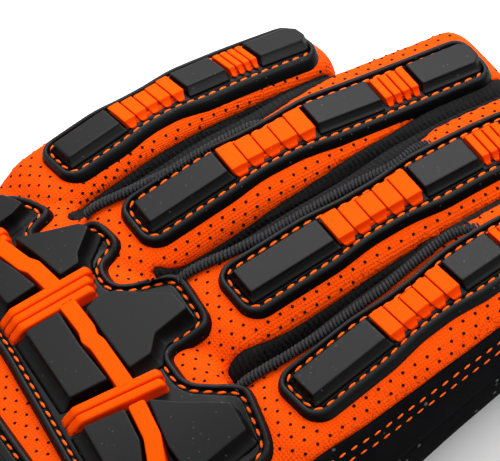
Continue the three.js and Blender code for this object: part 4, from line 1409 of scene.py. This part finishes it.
def strand_tree():
    tree, given = repeating_tree("strands along a path", "Path", STRAND_INPUTS)
    curve = add_node(tree, "GeometryNodeMeshToCurve", {0: given["Path"]}).outputs[0]
    even = add_node(tree, "GeometryNodeResampleCurve", {0: curve, 3: given["Pitch"]},
                    mode="LENGTH").outputs[0]
    ahead = add_node(tree, "GeometryNodeInputTangent").outputs[0]
    standing = add_node(tree, "FunctionNodeAlignRotationToVector", {2: stored(tree, "up")},
                        axis="Z").outputs[0]
    facing = add_node(tree, "FunctionNodeAlignRotationToVector", {0: standing, 2: ahead},
                      axis="X", pivot_axis="Z").outputs[0]
    angle = add_node(tree, "ShaderNodeCombineXYZ", {2: given["Tilt"]}).outputs[0]
    tilt = add_node(tree, "FunctionNodeEulerToRotation", {0: angle}).outputs[0]
    tilted = add_node(tree, "FunctionNodeRotateRotation", {0: facing, 1: tilt},
                      rotation_space="LOCAL").outputs[0]
    size = add_node(tree, "ShaderNodeCombineXYZ",
                    {0: given["Length"], 1: given["Width"], 2: given["Height"]}).outputs[0]
    ball = add_node(tree, "GeometryNodeMeshUVSphere", {0: 8, 1: 6, 2: 0.5}).outputs[0]
    return repeat_piece(tree, {0: even, 2: ball, 5: tilted, 6: size}, given["Material"])


STRANDS = strand_tree()


def set_inputs(modifier, tree, values):
    modifier.node_group = tree
    for item in tree.interface.items_tree:
        if item.in_out == "INPUT" and item.name in values:
            modifier[item.identifier] = values[item.name]


def strands(name, lines, material, slot, pitch, length, width, height, tilt):
    """Strands along several lines. A line is its points, its directions up and whether it is closed."""
    points, ups, edges = [], [], []
    for line, up, closed in lines:
        first, count = len(points), len(line)
        points.extend(line)
        ups.extend(np.broadcast_to(up, np.shape(line)))
        edges.extend((first + i, first + (i + 1) % count) for i in range(count if closed else count - 1))
    mesh = bpy.data.meshes.new(name)
    mesh.from_pydata(((np.array(points) + OFFSET) * MM).tolist(), edges, [])
    mesh.attributes.new("up", "FLOAT_VECTOR", "POINT").data.foreach_set("vector", np.ravel(ups))
    obj = bpy.data.objects.new(name, mesh)
    scene.collection.objects.link(obj)
    values = {"Pitch": pitch * MM, "Length": length * MM, "Width": width * MM, "Height": height * MM,
              "Tilt": tilt, "Material": material}
    set_inputs(obj.modifiers.new("strands", "NODES"), STRANDS, values)
    applied(obj)
    obj.data.polygons.foreach_set("use_smooth", [True] * len(obj.data.polygons))
    print(name, len(obj.data.polygons), "faces")
    return dress(obj, slot)


# %% Guard stitches
GUARD_STITCH = {"pitch": 2.6, "length": 1.9, "width": 0.62, "height": 0.6, "tilt": 0.1}
strands("finger_guard_stitches", stitch_paths[:len(fingers)], orange_thread, "back_cloth", **GUARD_STITCH)
strands("hand_guard_stitches", stitch_paths[len(fingers):], orange_thread, "back_cloth", **GUARD_STITCH)

# %% Two rows on the leather beside the index finger
LEATHER_ROWS = (1.9, 3.9)
LEATHER_LIFT = 0.75
LEATHER_ENDS = (-41, 56)
LEATHER_STEP = 1.5


def nearest_skin(points):
    hits = [skin_tree.find_nearest(Vector(point)) for point in points]
    return np.array([hit[0] for hit in hits]), np.array([hit[1] for hit in hits])


def down_the_side(line, distance):
    """The line moved down the side of the hand, along the skin."""
    points, normals = nearest_skin(line)
    tangent = unit(np.gradient(points, axis=0))
    outward = np.cross(normals, tangent)
    outward *= np.sign(outward[:, :1])
    return nearest_skin(points + outward * distance)


seam_y = np.arange(*LEATHER_ENDS, LEATHER_STEP)
seam_x = np.interp(seam_y, [y for _, y in INDEX_SEAM], [x for x, _ in INDEX_SEAM])
seam = on_skin(np.column_stack([seam_x, seam_y, np.full(len(seam_y), HAND_TOP)]))
leather_lines = []
for distance in LEATHER_ROWS:
    points, normals = down_the_side(seam, distance)
    leather_lines.append((points + normals * LEATHER_LIFT, normals, False))
strands("leather_stitches", leather_lines, orange_thread, "back_cloth",
        pitch=2.6, length=1.6, width=0.42, height=0.3, tilt=0.12)

# %% Twisted cords along the far seams of three fingers
CORD_LIFT = 1.0
CORD_START = -8.0
CORD_LEAN = 0.6
CORD_SINK = 3.5
CORD_SHORT = 8.0
CORD_FADES = {"ring": (28, 38), "middle": (42, 54), "index": (40, 56)}

cord_lines = []
for finger in fingers[1:]:
    s = np.arange(CORD_START, finger.length - CORD_SHORT, 1.0)
    point, _, side, up = finger.at(s)
    away = unit(up - side * CORD_LEAN)
    base = on_skin(point - side * seam_distance(FAR_SEAMS, finger, s)[:, None], away)
    lift = CORD_LIFT - CORD_SINK * smoothstep(s, *CORD_FADES[finger.name])
    cord_lines.append((base + away * lift[:, None], away, False))
strands("finger_cords", cord_lines, black_cord, "knit",
        pitch=0.78, length=3.1, width=0.95, height=1.9, tilt=1.15)

# %% [markdown]
# ## Perforations
# The cloth is pierced in a staggered lattice. The tree lays the lattice out flat, in the same flat
# coordinates as the knit, looks up where each place lies on the cloth and puts a small dark pit there.
# The pit's near-black colour is painted shade for the inside of the hole.

# %% The tree that pierces the cloth
LATTICE_INPUTS = ("Along", "Across", "Columns", "Rows", "Radius")


def pierced_tree():
    tree, given = repeating_tree("staggered lattice on cloth", "Cloth", LATTICE_INPUTS)
    width = math_node(tree, "MULTIPLY", given["Across"], math_node(tree, "SUBTRACT", given["Columns"], 1.0))
    height = math_node(tree, "MULTIPLY", given["Along"], math_node(tree, "SUBTRACT", given["Rows"], 1.0))
    grid = add_node(tree, "GeometryNodeMeshGrid",
                    {0: width, 1: height, 2: given["Columns"], 3: given["Rows"]}).outputs[0]
    number = add_node(tree, "GeometryNodeInputIndex").outputs[0]
    column = math_node(tree, "FLOOR", math_node(tree, "DIVIDE", number, given["Rows"]))
    odd = math_node(tree, "MODULO", column, 2.0)
    stagger = math_node(tree, "MULTIPLY", odd, math_node(tree, "MULTIPLY", given["Along"], 0.5))
    shift = add_node(tree, "ShaderNodeCombineXYZ",
                     {0: 0.5, 1: math_node(tree, "ADD", stagger, 0.5)}).outputs[0]
    lattice = add_node(tree, "GeometryNodeSetPosition", {0: grid, 3: shift}).outputs[0]
    flat = stored(tree, "cloth")
    place = add_node(tree, "GeometryNodeInputPosition").outputs[0]
    facing = add_node(tree, "GeometryNodeInputNormal").outputs[0]
    looked_up = lattice
    for label, value in (("facing", facing), ("bare", stored(tree, "bare")), ("spot", place)):
        found = add_node(tree, "GeometryNodeSampleUVSurface",
                         {0: given["Cloth"], 1: value, 2: flat, 3: place}, data_type="FLOAT_VECTOR")
        looked_up = add_node(tree, "GeometryNodeStoreNamedAttribute",
                             {0: looked_up, 2: label, 3: found.outputs[0]},
                             data_type="FLOAT_VECTOR", domain="POINT").outputs[0]
    covered = add_node(tree, "FunctionNodeBooleanMath", {0: found.outputs[1]}, operation="NOT").outputs[0]
    kept = add_node(tree, "GeometryNodeDeleteGeometry", {0: looked_up, 1: covered},
                    domain="POINT").outputs[0]
    bareness = add_node(tree, "ShaderNodeSeparateXYZ", {0: stored(tree, "bare")}).outputs[0]
    closed = add_node(tree, "FunctionNodeCompare", {0: bareness, 1: 0.99},
                      operation="LESS_THAN").outputs[0]
    kept = add_node(tree, "GeometryNodeDeleteGeometry", {0: kept, 1: closed}, domain="POINT").outputs[0]
    moved = add_node(tree, "GeometryNodeSetPosition", {0: kept, 2: stored(tree, "spot")}).outputs[0]
    rotation = add_node(tree, "FunctionNodeAlignRotationToVector", {2: stored(tree, "facing")},
                        axis="Z").outputs[0]
    top_radius = math_node(tree, "MULTIPLY", given["Radius"], 0.8)
    depth = math_node(tree, "MULTIPLY", given["Radius"], 0.3)
    pit = add_node(tree, "GeometryNodeMeshCone",
                   {0: 10, 1: 1, 2: 1, 3: top_radius, 4: given["Radius"], 5: depth}).outputs[0]
    return repeat_piece(tree, {0: moved, 2: pit, 5: rotation}, given["Material"])


# %% The pierced cloth: bare where no guard, seam or lip lies on it
HOLE_ALONG = 2.75
HOLE_ACROSS = 2.1
HOLE_RADIUS = 0.34
HOLE_COLUMNS = 60
HOLE_ROWS = 85
GUARD_MARGIN = 0.3
SEAM_MARGIN = 0.35

data, tris = cut(BACK)
open_cloth = np.min([sign * data[:, COLUMN[field]] for field, sign in BACK.items()], axis=0) > SEAM_MARGIN
for outline in (KNUCKLE_OUTLINE, PAD_OUTLINE):
    open_cloth &= plan_distance(data, np.array(outline)) < -GUARD_MARGIN
for finger in fingers:
    s, t = finger.local(data)
    beside = np.abs(t) > GUARD_HALF_WIDTH + GUARD_MARGIN
    before = s < -GUARD_START - GUARD_MARGIN
    beyond = s > finger.length + GUARD_TIP + GUARD_MARGIN
    open_cloth &= beside | before | beyond
perforations = mesh_object("perforations", data[:, :3], tris)
layer = perforations.data.uv_layers.new(name="cloth")
layer.data.foreach_set("uv", data[tris.ravel()][:, -2:].ravel())
bare = np.repeat(open_cloth.astype(float), 3)
perforations.data.attributes.new("bare", "FLOAT_VECTOR", "POINT").data.foreach_set("vector", bare)
values = {"Along": HOLE_ALONG / UV_SPAN, "Across": HOLE_ACROSS / UV_SPAN, "Columns": HOLE_COLUMNS,
          "Rows": HOLE_ROWS, "Radius": HOLE_RADIUS * MM, "Material": painted_hole_shade}
set_inputs(perforations.modifiers.new("pierced", "NODES"), pierced_tree(), values)
dress(applied(perforations), "knit")
print("perforations:", len(perforations.data.polygons), "faces")

# %% [markdown]
# ## Floor and light
# The glove lies on a plain white floor. A near window lights the tops of the guards, a wide lamp overhead
# softens the shadows, and a fill lamp beyond the fingertips lights the cloth that faces away.

# %% Stage
FLOOR_REACH = 3
FLOOR_COLOUR = (0.9, 0.9, 0.9, 1)
WORLD_STRENGTH = 0.6
r = FLOOR_REACH
stage_mesh = bpy.data.meshes.new("floor")
stage_mesh.from_pydata([(-r, -r, 0), (r, -r, 0), (r, r, 0), (-r, r, 0)], [], [(0, 1, 2, 3)])
floor = bpy.data.objects.new("floor", stage_mesh)
scene.collection.objects.link(floor)
paper, _, paper_shader = begin_material("paper floor")
paper_shader.inputs["Base Color"].default_value = FLOOR_COLOUR
stage_mesh.materials.append(paper)
scene.view_settings.view_transform = "Standard"
world = bpy.data.worlds.new("studio")
world.use_nodes = True
world.node_tree.nodes["Background"].inputs["Color"].default_value = (1, 1, 1, 1)
world.node_tree.nodes["Background"].inputs["Strength"].default_value = WORLD_STRENGTH
scene.world = world


def softbox(name, place, aim, size, power):
    data = bpy.data.lights.new(name, "AREA")
    data.shape = "RECTANGLE"
    data.size, data.size_y = size
    data.energy = power
    lamp = bpy.data.objects.new(name, data)
    lamp.location = place
    lamp.rotation_euler = (Vector(aim) - Vector(place)).to_track_quat("-Z", "Y").to_euler()
    scene.collection.objects.link(lamp)


softbox("window", place=(-0.2, 0.2, 0.27), aim=(-0.03, 0.04, 0.02), size=(0.28, 0.28), power=2.0)
softbox("overhead", place=(0.1, -0.1, 0.9), aim=(0, 0.03, 0), size=(0.7, 0.7), power=1.5)
softbox("fill", place=(0.4, 0.65, 0.5), aim=(0.15, 0.15, 0), size=(0.4, 0.4), power=4.5)
print("lights:", len(bpy.data.lights))
